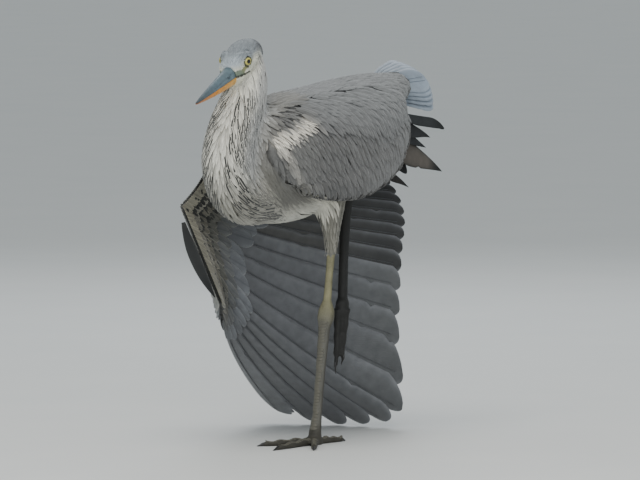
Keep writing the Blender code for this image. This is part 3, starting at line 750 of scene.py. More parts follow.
def make_vane_pattern(cuts, profile):
    """One small feather, modelled once: a three-sided cone cut into rows and drawn to its outline.

    Returns its points as (across -1..1, height 0..1, along 0..1) and its faces."""
    deselect()
    bpy.ops.mesh.primitive_cone_add(vertices=3, radius1=1, radius2=0, depth=1, location=(0, 0, 0.5))
    cone = bpy.context.object
    slices = [(bpy.ops.mesh.bisect, {"plane_co": (0, 0, height), "plane_no": (0, 0, 1)})
              for height in cuts]
    edit_whole(cone, *slices, (bpy.ops.mesh.normals_make_consistent, {"inside": False}))
    corners, faces = take_shape(cone)
    wide = math.sqrt(3) / 2
    points = []
    for corner in corners:
        along = corner.z + 0.5
        width = float(np.interp(along, [0.0, *cuts, 1.0], profile))
        reach = max(1 - along, 1e-6)
        across = corner.x / reach / wide if along < 1 else 0.0
        height = (corner.y / reach + 0.5) / 1.5 if along < 1 else 0.5
        points.append((across * width, height * (0.25 + 0.75 * width), along))
    return np.array(points), faces


def pick_roots(skin, chosen, spacing, stretch=1.6):
    """Vertices of the skin no closer together than each one's spacing; stretch times that along."""
    candidates = np.flatnonzero(chosen)
    chance.shuffle(candidates)
    cell = float(spacing[candidates].max()) * stretch
    squeeze = 1 - 1 / stretch ** 2
    taken, roots = {}, []

    def crowded(i, x, y, z):
        for dx, dy, dz in product((-1, 0, 1), repeat=3):
            for other in taken.get((x + dx, y + dy, z + dz), ()):
                off = other - skin.place[i]
                if off @ off - squeeze * (off @ skin.lie[i]) ** 2 < spacing[i] ** 2:
                    return True
        return False

    for i in candidates:
        key = tuple((skin.place[i] // cell).astype(int))
        if not crowded(i, *key):
            taken.setdefault(key, []).append(skin.place[i])
            roots.append(i)
    return np.array(roots)


def trace(skin, root, length, shares, turn):
    """Follows the skin from a root along its lie: places and normals at shares of the length."""
    place, way, up = (Vector(a[root]) for a in (skin.place, skin.lie, skin.normal))
    way = Matrix.Rotation(turn, 3, up) @ way
    places, normals = [place], [up]
    for near, far in zip(shares, shares[1:]):
        place, _, face, _ = skin.tree.find_nearest(place + way * float(length * (far - near)))
        corner = skin.first_corner[face]
        up = Vector(skin.normal[corner])
        way = way * 0.6 + Vector(skin.lie[corner]) * 0.4
        way = (way - up * way.dot(up)).normalized()
        places.append(place)
        normals.append(up)
    return places, normals


def lay_feathers(name, skin, roots, pattern, material, length, half_width, rise, stray=0.12,
                 thickness=0.0003, tones=0.06, start=-0.0004):
    """Small feathers from the roots, each following the skin and rising towards its tip.

    Stray is how far they turn from their lie, tones how much they differ in tone."""
    points, faces = pattern
    heights = np.round(points[:, 2], 4)
    rows = sorted(set(heights))
    row_of = np.array([rows.index(r) for r in heights])
    count, per = len(roots), len(points)
    length, half_width, rise = (np.broadcast_to(v, count) for v in (length, half_width, rise))
    path, normal = np.zeros((2, count, len(rows), 3))
    turn = chance.normal(0, stray, count)
    for n, root in enumerate(roots):
        path[n], normal[n] = trace(skin, root, length[n], rows, turn[n])
    lift = start + (rise[:, None] - start) * np.array(rows)[None, :] ** 0.85
    path = path + normal * lift[:, :, None]
    side = unit(np.cross(np.gradient(path, axis=1), normal))
    sideways = side[:, row_of] * (points[:, 0][None, :, None] * half_width[:, None, None])
    camber = (points[:, 1] - 0.9 * points[:, 0] ** 2) * thickness
    places = path[:, row_of] + sideways + normal[:, row_of] * camber[None, :, None]
    mesh = bpy.data.meshes.new(name)
    mesh.from_pydata(places.reshape(-1, 3).tolist(), [],
                     [[per * n + i for i in face] for n in range(count) for face in faces])
    mesh.update()
    mesh.materials.append(material)
    tone = 1 + chance.normal(0, tones, count)
    tint = np.clip(skin.tint[roots] * tone[:, None], 0, 1)
    marks = np.clip(skin.mark[roots] * (0.85 + 0.4 * chance.rand(count)), 0, 1)
    marks = np.where(chance.rand(count) < 0.18, marks * 0.2, marks)
    put_attributes(mesh, np.repeat(tint, per, axis=0), np.repeat(marks, per))
    across = np.tile((points[:, 0] + 1) / 2, count)
    along = np.tile(points[:, 2], count)
    put_map(mesh, "vane", across, along)
    own = np.repeat(skin.flat_place[roots], per, axis=0)
    put_map(mesh, "OFBake", own[:, 0] + (across - 0.5) * PATCH, own[:, 1] + (along - 0.5) * PATCH)
    return add_object(name, mesh)


# ---------------------------------------------------------------- big feathers

def wing_ray(number, share):
    """A point of the spread wing, at a feather number and a share of the chord."""
    end = spot(*curve(TIPS, number))
    if number <= INNER:
        t = number / INNER
        start = SHOULDER.lerp(WRIST, t)
        start += (end - start).normalized() * (LEADING_HOLLOW * 4 * t * (1 - t))
    else:
        start = WRIST.lerp(HAND_TIP, (number - INNER) / (FEATHERS - INNER))
    chord = end - start
    outward_way = Vector((-abs(chord.y), -chord.x * math.copysign(1, chord.y), 0)).normalized()
    bow = curve(BOW, number)[0]
    return start.lerp(end, share) + outward_way * (4 * bow * share * (1 - share))


def wing_under(number, share):
    """The way the spread wing's underside faces."""
    across = wing_ray(number + 0.3, share) - wing_ray(number - 0.3, share)
    along = wing_ray(number, share + 0.02) - wing_ray(number, share - 0.02)
    facing = across.cross(along).normalized()
    return facing if facing.x > 0 else -facing


def within_wing(number, margin=0.3):
    """A feather number kept off the wing's first and last ray."""
    return clamp(number, margin, FEATHERS - margin)


def make_blade_pattern(across, along):
    """A flat sheet modelled once, for every big feather: its points as (across, along).

    Its rows draw closer together towards the tip, whose round they carry."""
    deselect()
    bpy.ops.mesh.primitive_grid_add(x_subdivisions=across, y_subdivisions=along, size=2)
    corners, faces = take_shape(bpy.context.object)
    return [(v.x, 1 - ((1 - v.y) / 2) ** 1.7) for v in corners], faces


def blade_outline(along, point, root=0.25, tip=0.16, taper=0.5):
    """The share of its full width that a big feather has, from quill to tip; a taper of 0.5 is
    round and near 1 is a lance."""
    swell = root + (1 - root) * min(along / 0.35, 1.0) ** 0.7
    if along > 1 - tip:
        swell *= max(1 - ((along - 1 + tip) / tip) ** point, 0.0) ** taper
    return swell


def nicks(count, depth):
    """Places along a feather's two edges where its barbs have parted."""
    return [(chance.uniform(0.35, 0.97), chance.choice((-1, 1)), depth * chance.uniform(0.4, 1.0))
            for _ in range(count)]


def nicked(across, along, parted):
    """How much narrower the edge is at a nick."""
    less = 0.0
    for at, side, depth in parted:
        if across * side > 0:
            less = max(less, depth * max(1 - abs(along - at) / 0.018, 0.0))
    return 1 - less * abs(across)


def blade(pattern, place, facing, tone, point=2.2, parted=(), root=0.25, tip=0.16, taper=0.5):
    """Points and tints of one big feather: place(across, along) lies on it, facing is its front."""
    points, faces = pattern
    places, tints = [], []
    for across, along in points:
        width = blade_outline(along, point, root, tip, taper) * nicked(across, along, parted)
        places.append(place(across * width, along))
        tints.append(tone(across, along))
    return places, faces, tints, points, facing


def build_blades(name, blades, material, thickness, skin=None):
    """Joins big feathers into one piece and gives them their thickness.

    Those laid on the skin also take their patch of its map."""
    all_points, all_faces, tints, maps = [], [], [], []
    for places, faces, tone, pattern_points, facing in blades:
        a, b, c = (Vector(places[i]) for i in faces[len(faces) // 2][:3])
        if (b - a).cross(c - b).dot(facing) < 0:
            faces = [tuple(reversed(face)) for face in faces]
        add_part(all_points, all_faces, places, faces)
        tints += tone
        maps += pattern_points
    obj = object_from(name, all_points, all_faces, material)
    put_attributes(obj.data, np.array(tints), np.zeros(len(tints)))
    across, along = np.array(maps).T
    put_map(obj.data, "vane", (across + 1) / 2, along)
    if skin is not None:
        per = len(maps) // len(blades)
        own = skin.flat_place[nearest(skin.place, all_points[::per])].repeat(per, axis=0)
        put_map(obj.data, "OFBake", own[:, 0] + across * PATCH / 2, own[:, 1] + (along - 0.5) * PATCH)
    apply_modifier(obj, "SOLIDIFY", thickness=thickness, offset=-1.0, use_even_offset=False)
    return obj


def tube(points, sizes, sides, side_of, flat=1.0):
    """A closed tube through points; side_of names its side from the way it runs."""
    ring_points = []
    last = len(points) - 1
    for i, (point, size) in enumerate(zip(points, sizes)):
        along = (points[min(i + 1, last)] - points[max(i - 1, 0)]).normalized()
        side = side_of(along).normalized()
        up = along.cross(side)
        for k in range(sides):
            angle = 2 * math.pi * k / sides
            ring_points.append(point + side * (size * flat * math.cos(angle))
                               + up * (size * math.sin(angle)))
    faces = [(i * sides + k, i * sides + (k + 1) % sides, (i + 1) * sides + (k + 1) % sides,
              (i + 1) * sides + k) for i in range(last) for k in range(sides)]
    faces.append(tuple(reversed(range(sides))))
    faces.append(tuple(last * sides + k for k in range(sides)))
    return ring_points, faces


def build_quills(name, lines, material):
    """The shafts of big feathers, each from its points and its thickness at either end."""
    all_points, all_faces = [], []
    for points, radius, tip_radius in lines:
        last = len(points) - 1
        sizes = [radius + (tip_radius - radius) * i / last for i in range(len(points))]
        add_part(all_points, all_faces, *tube(points, sizes, 6, Vector.orthogonal))
    obj = object_from(name, all_points, all_faces, material)
    outward(obj)
    return obj


def graded(base, end, start=0.55, reach=0.95, edge=None, vary=0.06):
    """A feather's tone from quill to tip, with a paler or darker trailing edge if one is named."""
    near, far = paint(base), paint(end)
    rim = None if edge is None else paint(edge)
    own = 1 + chance.normal(0, vary)

    def tone(across, along):
        share = float(soft(along, start, reach))
        value = near * (1 - share) + far * share
        if rim is not None:
            value = value * (1 - abs(across) ** 4 * 0.7) + rim * (abs(across) ** 4 * 0.7)
        return tuple(np.clip(value * own, 0, 1))
    return tone


def flight_feather(number, start, tone, pattern):
    """One flight feather of the spread wing, its inner vane lying over its neighbour's outer."""
    primary = number > INNER
    inner, outer = (0.95, 0.52) if primary else (0.90, 0.60)
    longer = float(soft(number, 15.5, 20.5))
    parted = nicks(5 if primary else 3, 0.28)

    def place(across, along):
        reach = across * (outer if across > 0 else inner)
        share = start + (1.0 - start) * along
        narrowed = reach * (1 - 0.25 * along * (across > 0) * primary)
        at = clamp(number + narrowed, -0.45, FEATHERS + 0.25)
        shelf = -across * SHINGLE + VANE_CAMBER * (1 - across * across) * (0.5 + along)
        return wing_ray(at, share) + wing_under(within_wing(number), share) * (shelf - 0.0008)
    return blade(pattern, place, wing_under(number, 0.6), tone, point=2.6 - 0.7 * longer,
                 parted=parted, tip=0.060 + 0.085 * longer)


def make_flight_feathers(vane, quill_horn):
    """Tertials, secondaries and primaries of the spread wing, and their quills."""
    pattern = make_blade_pattern(10, 34)
    for row, numbers, base, end, start, quill_radius in (
            ("secondaries", range(INNER), "#4f4f4e", "#2d2e2e", 0.16, 0.0008),
            ("primaries", range(INNER, FEATHERS), "#66686b", "#535556", 0.10, 0.0010)):
        blades, lines = [], []
        for k in numbers:
            number = k + 0.5
            tone = graded(base, end, 0.55, 1.0, edge="#737578")
            blades.append(flight_feather(number, start, tone, pattern))
            shaft = []
            for along in np.linspace(0.0, 0.97, 18):
                share = start + (1 - start) * along
                facing = wing_under(number, share)
                shaft.append(wing_ray(number, share) + facing * 0.0009 * (1 + along))
            lines.append((shaft, quill_radius, 0.0003))
        name = row + "_right"
        finish_piece(build_blades(name, blades, vane, FLIGHT_THICKNESS), "plumage_dark",
                     "wing_right_" + row)
        finish_piece(build_quills("quills_" + name, lines, quill_horn), "plumage_dark")


# Rows of coverts on the spread wing: start and end as shares of the chord, feathers per ray,
# half width in rays, height off the wing, tone and edge
UNDER_ROWS = ((0.25, 0.50, 1.0, 0.80, 0.0026, "#5f6266", "#7b7e80"),
              (0.17, 0.38, 1.5, 0.56, 0.0038, "#595b5c", "#74756f"),
              (0.11, 0.275, 2.0, 0.44, 0.0048, "#54544f", "#7c7a70"),
              (0.065, 0.19, 2.5, 0.36, 0.0056, "#615f56", "#8d8a7c"),
              (0.025, 0.12, 3.0, 0.32, 0.0058, "#74726a", "#a09c8c"),
              (-0.005, 0.06, 3.5, 0.28, 0.0054, "#807d70", "#a8a493"))
UPPER_ROWS = ((0.15, 0.42, 1.0, 0.80, 0.0030, "#5d6165", "#767a7d"),
              (0.10, 0.30, 1.5, 0.58, 0.0044, "#6c7073", "#83878a"),
              (0.06, 0.21, 2.0, 0.45, 0.0056, "#767a7c", "#8c9092"),
              (0.025, 0.135, 2.5, 0.38, 0.0062, "#7d8182", "#94989a"),
              (0.0, 0.075, 3.0, 0.32, 0.0058, "#8b8c88", "#a3a39c"))


def covert_rows(name, rows, way, vane, skin):
    """Overlapping rows of coverts on one side of the spread wing; way is 1 under and -1 above."""
    pattern = make_blade_pattern(6, 10)
    blades = []
    for start, end, density, half, height, code, edge in rows:
        for k in range(int(FEATHERS * density)):
            number = (k + 0.5 + chance.uniform(-0.15, 0.15)) / density
            shorter = 1 - 0.28 * float(soft(number, INNER - 2, INNER + 3))
            jitter = chance.uniform(0.94, 1.06)
            lean = chance.normal(0, 0.12)

            def place(across, along):
                at = clamp(number + across * half + lean * along, -0.3, FEATHERS + 0.2)
                share = (start + (end - start) * along * jitter) * shorter
                facing = wing_under(within_wing(number), share) * way
                rise = height * (0.25 + 0.75 * along) - 0.0012 * across * way * half
                return wing_ray(at, share) + facing * (rise + 0.0010 * (1 - across * across))
            tone = graded(code, code, edge=edge, vary=0.10)
            blades.append(blade(pattern, place, wing_under(number, 0.2) * way, tone, point=2.4,
                                root=0.5, tip=0.45))
    finish_piece(build_blades(name, blades, vane, COVERT_THICKNESS, skin), "plumage_dark")


def make_alula(vane):
    """The stiff short feathers that stand off the hand's leading edge, four of them."""
    pattern = make_blade_pattern(6, 18)
    edge_line = (HAND_TIP - WRIST).normalized()
    blades = []
    for k, (root, tip, wide) in enumerate(((0.16, 0.94, 1.0), (0.18, 0.80, 0.8),
                                           (0.20, 0.66, 0.66), (0.22, 0.54, 0.5))):
        def place(across, along):
            at = INNER + (FEATHERS - INNER) * (root + (tip - root) * along)
            edge = wing_ray(at, 0.0)
            inward = wing_ray(at, 0.5) - edge
            away = -(inward - edge_line * inward.dot(edge_line)).normalized()
            raised = (away + Vector((-1, 0, 0))).normalized()
            belly = math.sin(math.pi * (0.12 + 0.80 * along)) ** 0.7
            reach = 0.0020 + 0.0068 * (1 + across) * wide * belly
            return edge + raised * reach + wing_under(at, 0.1) * (-0.0011 * k)
        tone = graded("#2b2d2d", "#17191a", edge="#3a3d3d")
        blades.append(blade(pattern, place, wing_under(INNER + 4, 0.1), tone, point=2.0, root=0.7,
                            tip=0.3))
    finish_piece(build_blades("alula_feathers", blades, vane, FLIGHT_THICKNESS), "plumage_dark",
                 "alula_right")


# The folded wing's flight feathers that show behind it, upper first: root, tip, half width, how
# far it arches, how lance-like it is and over what share, its tones at quill and tip
FOLDED_QUILLS = (
    ((-0.1461, 0.0333, 0.3847), (-0.2830, 0.0040, 0.3640), 0.0062, 0.0030, 0.50, 0.30,
     "#2b2f31", "#151818"),
    ((-0.1500, 0.0310, 0.3715), (-0.2430, 0.0100, 0.3550), 0.0088, 0.0010, 1.00, 0.75,
     "#232527", "#151718"),
    ((-0.1560, 0.0276, 0.3625), (-0.2310, 0.0120, 0.3435), 0.0070, 0.0000, 1.00, 0.75,
     "#26282a", "#151718"),
    ((-0.1470, 0.0230, 0.3490), (-0.2690, 0.0120, 0.3125), 0.0165, 0.0010, 0.95, 0.78,
     "#645e57", "#191b1b"),
    ((-0.1350, 0.0140, 0.3520), (-0.1870, 0.0140, 0.3155), 0.0120, 0.0020, 0.50, 0.40,
     "#1b1d1f", "#101112"),
    ((-0.1310, 0.0140, 0.3210), (-0.1950, 0.0120, 0.2970), 0.0066, 0.0010, 0.95, 0.70,
     "#2a2724", "#161514"))


def make_folded_quills(vane):
    """The black flight feathers that show behind the folded wing, each drooping to its tip."""
    pattern = make_blade_pattern(8, 24)
    blades = []
    for k, (root, tip, half_width, arch, taper, point, base, end) in enumerate(FOLDED_QUILLS):
        start, finish = spot(*root), spot(*tip)
        along_line = (finish - start).normalized()
        side = along_line.cross(Vector((1, 0.15, 0))).normalized()
        facing = side.cross(along_line).normalized()

        def place(across, along):
            bend = UP * (arch * math.sin(math.pi * along ** 2.4))
            shelf = facing * (0.0010 * across - 0.0007 * k)
            return start.lerp(finish, along) + side * (across * half_width) + bend + shelf
        blades.append(blade(pattern, place, facing, graded(base, end, 0.60, 0.90, edge=end),
                            point=1.2, parted=nicks(2, 0.3), root=0.8, tip=point, taper=taper))
    finish_piece(build_blades("folded_quills", blades, vane, FLIGHT_THICKNESS), "plumage_dark",
                 "wing_left_primaries")


def make_tail(vane, tail_horn):
    """Ten tail feathers, the middle pair on top, each lying over the one outside it."""
    pattern = make_blade_pattern(8, 26)
    along_line = (TAIL_TIP - TAIL_ROOT).normalized()
    root = TAIL_ROOT - along_line * 0.010
    level = UP.cross(along_line).normalized()
    across_line = Matrix.Rotation(TAIL_ROLL, 3, along_line) @ level
    above = along_line.cross(across_line)
    above = above if above.z > 0 else -above
    blades, lines = [], []
    for k in range(TAIL_FEATHERS):
        side = (k + 0.5) / TAIL_FEATHERS * 2 - 1

        def centre(along):
            width = 0.034 + (0.071 - 0.034) * along
            reach = (1 - 0.06 * side * side) * along
            arch = -0.010 * side * side * along - 0.0035 * abs(side)
            return root.lerp(TAIL_TIP, reach) + across_line * (side * width * 0.42) + above * arch

        def place(across, along):
            half = 0.0095 + 0.0100 * along
            tilt = -abs(side) * 0.0009 * across * (1 if side > 0 else -1)
            return (centre(along) + across_line * (across * half)
                    + above * (tilt + 0.0009 * (1 - across * across)))
        tone = graded("#737f8a", "#7e8b98", 0.3, 0.9, edge="#8e99a4", vary=0.03)
        blades.append(blade(pattern, place, above, tone, point=2.0, parted=nicks(2, 0.2), root=0.5,
                            tip=0.30))
        lines.append(([centre(a) + above * 0.0010 for a in np.linspace(0, 0.95, 12)], 0.0009, 0.0003))
    finish_piece(build_blades("tail_feathers", blades, vane, FLIGHT_THICKNESS), "plumage_grey", "tail")
    finish_piece(build_quills("quills_tail", lines, tail_horn), "plumage_grey")


# ---------------------------------------------------------------- folded wing, in rows

def make_folded_coverts(skin, vane):
    """Coverts in staggered rows over the folded wing, longest at its rear."""
    pattern = make_blade_pattern(6, 10)
    steps = 10
    shares = np.linspace(0, 1, steps + 1)
    rim_tint = paint("#93918b")
    blades = []
    for row, lane in product(range(FOLDED_ROWS), range(FOLDED_LANES)):
        forward = 0.128 - 0.285 * ((row + 0.5 + chance.uniform(-0.2, 0.2)) / FOLDED_ROWS) ** 1.2
        upper, lower = curve(FOLDED_KEYS, -forward)
        share = (lane + 0.5 * (row % 2) + chance.uniform(-0.2, 0.2)) / FOLDED_LANES
        up = upper + 0.004 + (lower - upper + 0.004) * share
        hit, _, face, _ = skin.tree.ray_cast(Vector((0.085, -forward, up)), Vector((-1, 0, 0)))
        if hit is None or skin.fringe[skin.first_corner[face]] > 0.42:
            continue
        rear = float(soft(forward, 0.12, -0.09))
        low = float(soft(share, 0.2, 0.9))
        length = (0.015 + 0.029 * rear + 0.007 * low) * chance.uniform(0.85, 1.15)
        half = 0.0023 + 0.0028 * rear + 0.0009 * low
        # none reaches past the wing's lower edge or its rear
        room = min((up - lower + 0.010) / 0.80, (forward + 0.178) / 0.60)
        length = min(length, max(room, 0.010))
        root = skin.first_corner[face]
        path, normals = trace(skin, root, length, shares, chance.normal(0, 0.10))
        stand = 0.0043 + 0.0006 * rear
        tilt = chance.uniform(0.0001, 0.0005)

        def place(across, along):
            at = clamp(along, 0, 1) * steps
            near = min(int(at), steps - 1)
            middle = path[near].lerp(path[near + 1], at - near)
            facing = normals[near].lerp(normals[near + 1], at - near).normalized()
            side = facing.cross((path[near + 1] - path[near]).normalized())
            lift = 0.0034 + (stand - 0.0034) * along + tilt * along
            lift -= 0.0007 * across * across + 0.0003 * across
            return middle + side * (across * half) + facing * lift
        own_tint = skin.tint[root] * (1 + chance.normal(0, 0.06))

        def tone(across, along):
            rim = max(abs(across) ** 4, float(soft(along, 0.90, 1.0))) * 0.22
            # painted shade: darker towards the covered root; the rim and tip are paler, the covert's
            # own pale edge
            value = own_tint * (0.86 + 0.14 * along) * (1 - rim) + rim_tint * rim
            return tuple(np.clip(value, 0, 1))
        blades.append(blade(pattern, place, normals[4], tone, point=1.4, root=0.6, tip=0.58,
                            taper=0.68, parted=nicks(2, 0.30)))
    finish_piece(build_blades("coverts_left", blades, vane, COVERT_THICKNESS, skin), "plumage_grey",
                 "wing_left")


# ---------------------------------------------------------------- the body's plumage

def coat_spacing(skin):
    """How far apart the feathers' roots are at each vertex."""
    spacing = np.full(len(skin.place), 0.0034)
    for apart, *parts in ((0.0027 - 0.0008 * soft(skin.order, 5.3, 6.8), *NECK_PARTS),
                          (0.0013, "head"), (0.0028, "thigh_left", "thigh_right"),
                          (0.0042, "wing_left"), (0.0036, *ARM_PARTS)):
        spacing = np.where(skin.on(*parts), apart, spacing)
    return spacing


def mouth_line(skin):
    """The crease that carries the gape back under the eye."""
    line = GAPE + 0.0006 + 0.06 * np.maximum(0.012 - skin.ahead, 0)
    return (soft(np.abs(skin.above - line), 0.0020, 0.0010)
            * soft(skin.ahead, -0.004, 0.002) * skin.on("head"))


def bare_face(skin):
    """The naked skin: round the eye, the lores from there to the bill, and the mouth's crease."""
    ahead, side, up = EYE_CENTRE
    reach = soft(skin.ahead, ahead + 0.004, BILL_ROOT + 0.012)
    top, bottom = up - 0.0015 - 0.0040 * reach, GAPE + 0.0055 - 0.0055 * reach
    lores = (skin.above < top) & (skin.above > bottom) & (skin.ahead > ahead)
    eye = np.hypot(skin.ahead - ahead, (skin.above - up) * 1.1) < 0.0060
    crease = mouth_line(skin) > 0.6
    return (lores | eye | crease) & skin.on("head")


def make_coat(skin, soft_vane, loose_vane):
    """The contour feathers of head, neck, body, thighs and wings."""
    spacing = coat_spacing(skin)
    pattern = make_vane_pattern((0.18, 0.42, 0.68, 0.88), (0.35, 0.80, 1.0, 0.85, 0.50, 0.0))

    def lay(name, chosen, slot_name, nodes, vane, length, half_width, rise, stretch=1.6, **more):
        """Lays one piece; a length, half width or rise may be an array over the whole skin."""
        roots = pick_roots(skin, chosen, spacing, stretch)
        sizes = [v[roots] if np.ndim(v) else v for v in (length, half_width, rise)]
        finish_piece(lay_feathers(name, skin, roots, pattern, vane, *sizes, **more), slot_name, *nodes)

    face, crest = soft(skin.ahead, -0.015, 0.030), skin.crest
    lay("coat_head", skin.on("head") & ~bare_face(skin), "plumage_white", (), soft_vane,
        0.0085 - 0.0050 * face + 0.007 * crest, 0.00085 - 0.0002 * face,
        0.0018 - 0.0010 * face + 0.0016 * crest, thickness=0.0002, tones=0.06, start=0.0005,
        stretch=1.3)

    neck = skin.on(*NECK_PARTS)
    high = soft(skin.order, 5.5, 7.5)
    low = soft(skin.order, 2.2, 0.5)
    for name, chosen, nodes, stretch in (
            ("coat_neck_front", np.abs(skin.around) < 1.5, NECK_PARTS, 2.3),
            ("coat_neck_back", np.abs(skin.around) >= 1.5, (), 2.1)):
        lay(name, neck & chosen, "plumage_white", nodes, loose_vane,
            0.021 + 0.014 * low - 0.007 * high, 0.0020 - 0.0008 * high, 0.0050 - 0.0024 * high,
            stretch=stretch, stray=0.16, thickness=0.0004, tones=0.05, start=0.0022)

    # behind the folded wing, feathers grow only below its hem, so that none climbs over it
    lines = np.linspace(-0.150, 0.165, 60)
    hem = np.interp(-skin.forward, lines, [curve(FOLDED_KEYS, at)[1] for at in lines])
    behind = (skin.left > 0.025) & (skin.forward < 0.105) & (skin.forward > -0.15)
    trunk = skin.on("trunk") & ~(behind & (skin.up > hem + 0.006) & (skin.up < 0.392))
    under = soft(skin.up, 0.36, 0.29)
    for name, chosen, nodes in (("coat_body_left", skin.left >= MIDLINE, ("trunk",)),
                                ("coat_body_right", skin.left < MIDLINE, ())):
        lay(name, trunk & chosen, "plumage_grey", nodes, soft_vane, 0.020 + 0.013 * under,
            0.0027 - 0.0010 * under, 0.0046 + 0.0008 * under, stray=0.10,
            tones=0.035, start=0.0034)

    fluffy = skin.fringe
    mantle = (skin.on("trunk", "wing_left") & (skin.up > 0.388) & (skin.left > -0.012)
              & (skin.forward < 0.092) & (skin.normal[:, 2] > 0.15) & (fluffy < 0.05))
    spacing[mantle] = 0.0044
    lay("scapulars", mantle, "plumage_grey", (), soft_vane,
        0.026 + 0.012 * soft(skin.forward, 0.06, -0.04), 0.0042, 0.0062, stretch=1.9,
        stray=0.10, thickness=0.0006, tones=0.04, start=0.0040)

    wing = skin.on("wing_left") & ((skin.normal[:, 0] > 0.10) | (skin.up > 0.37))
    wing &= skin.up > hem + 0.006 + 0.006 * soft(skin.forward, 0.05, 0.07)
    spacing[fluffy > 0.3] = 0.0017
    lay("coat_wing_left", wing, "plumage_grey", (), soft_vane, 0.014 - 0.003 * fluffy,
        0.0024 - 0.0017 * fluffy, 0.0034 + 0.0024 * fluffy, stray=0.22,
        tones=0.05, start=0.0012)
    # the spread wing's arm takes its painted shade tint
    lay("coat_arm_right", skin.on(*ARM_PARTS), "plumage_dark", (),
        soft_vane, 0.011, 0.0022, 0.0022, stray=0.2, tones=0.16)
    lay("coat_thighs", skin.on("thigh_left", "thigh_right"), "plumage_white",
        ("thigh_left", "thigh_right"), soft_vane, np.clip((skin.up - 0.228) * 0.9, 0.004, 0.012),
        0.0013, 0.0030, stray=0.12, tones=0.06, start=0.0012)


# ---------------------------------------------------------------- bill and eyes

def horn_material(name, base, far, tip):
    """Bill keratin: a smooth grown sheath, its colour changing along the bill, fine grain along it."""
    material, shader = new_material(name, 0.38, Coat_Weight=0.25, Coat_Roughness=0.3)
    turn = head_frame().inverted()
    place = add_node(material, "TexCoord").outputs["Object"]
    turned = add_node(material, "Mapping", {"Vector": place, "Location": turn.to_translation(),
                                            "Rotation": turn.to_euler()})
    axes = add_node(material, "SeparateXYZ", {"Vector": turned.outputs["Vector"]})
    along = add_node(material, "MapRange", {"Value": axes.outputs["Y"], "From Min": -0.040,
                                            "From Max": -0.137})
    ramp = add_node(material, "ValToRGB", {"Fac": along.outputs["Result"]})
    colour_stops(ramp, base, tip, (0.5, far))
    # growth lines lie about 1 mm apart across the bill and run long down it
    stretched = add_node(material, "Mapping", {"Vector": turned.outputs["Vector"],
                                               "Scale": (900, 60, 900)})
    grain = add_node(material, "TexNoise", {"Vector": stretched.outputs["Vector"], "Scale": 1.0,
                                            "Detail": 4.0})
    # clouds of 6 mm in the horn
    cloud = add_node(material, "TexNoise", {"Vector": place, "Scale": 160.0, "Detail": 3.0})
    shade = add_node(material, "MapRange", {"Value": cloud.outputs["Fac"], "From Min": 0.3,
                                            "From Max": 0.7, "To Min": 0.82, "To Max": 1.12})
    toned = add_node(material, "Mix", {"Factor": 1.0, 6: ramp.outputs["Color"],
                                       7: shade.outputs["Result"]},
                     data_type="RGBA", blend_type="MULTIPLY")
    bump = add_node(material, "Bump", {"Strength": 0.3, "Distance": 0.0003,
                                       "Height": grain.outputs["Fac"]})
    join(material, shader, "Base Color", toned.outputs[2])
    join(material, shader, "Normal", bump.outputs["Normal"])
    return material


def make_mandible(name, node, slot_name, grooved, material):
    """A mandible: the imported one's shape made finer, with a nostril groove if it is the upper."""
    bm = bmesh.new()
    bm.from_mesh(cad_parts[node].data)
    bmesh.ops.remove_doubles(bm, verts=bm.verts, dist=1e-6)
    bmesh.ops.dissolve_limit(bm, angle_limit=math.radians(0.5), verts=bm.verts, edges=bm.edges)
    crease = bm.edges.layers.float.new("crease_edge")
    for edge in bm.edges:
        if len(edge.link_faces) == 2 and edge.calc_face_angle() > math.radians(50):
            edge[crease] = 0.85
    mesh = bpy.data.meshes.new(name)
    bm.to_mesh(mesh)
    bm.free()
    mesh.materials.append(material)
    mandible = add_object(name, mesh)
    apply_modifier(mandible, "SUBSURF", levels=3, render_levels=3)
    inverse = head_frame().inverted()
    for vertex in mandible.data.vertices if grooved else ():
        local = inverse @ vertex.co
        ahead, above = -local.y, local.z - GAPE
        if abs(local.x) > 0.0015 and above > 0.0008:
            along = float(soft(ahead, 0.042, 0.048) * soft(ahead, 0.105, 0.085))
            line = 0.0062 * (1 - (ahead - 0.04) / 0.10)
            groove = math.exp(-((above - line) / 0.0011) ** 2)
            slit = math.exp(-((ahead - 0.052) / 0.0050) ** 2) * groove
            vertex.co -= vertex.normal * (0.0007 * groove * along)
            vertex.co -= vertex.normal * (0.0016 * slit)      # the normal as the groove turned it
    mandible.data.shade_smooth()
    finish_piece(mandible, slot_name, node)


def eye_material():
    """A bird's eye: black pupil, pale yellow iris with dark rims, wet cornea over all."""
    material, shader = new_material("wet_eye", 0.06, Coat_Weight=0.35, Coat_Roughness=0.02)
    gaze = add_node(material, "UVMap", uv_map="gaze")
    axes = add_node(material, "SeparateXYZ", {"Vector": gaze.outputs["UV"]})
    ramp = add_node(material, "ValToRGB", {"Fac": axes.outputs["X"]})
    colour_stops(ramp, "#020202", "#2a2a20", (0.215, "#030303"), (0.235, "#7d7638"),
                 (0.33, "#c3ba58"), (0.42, "#aea64c"), (0.475, "#6e6a3c"), (0.50, "#17160f"))
    join(material, shader, "Base Color", ramp.outputs["Color"])
    return material


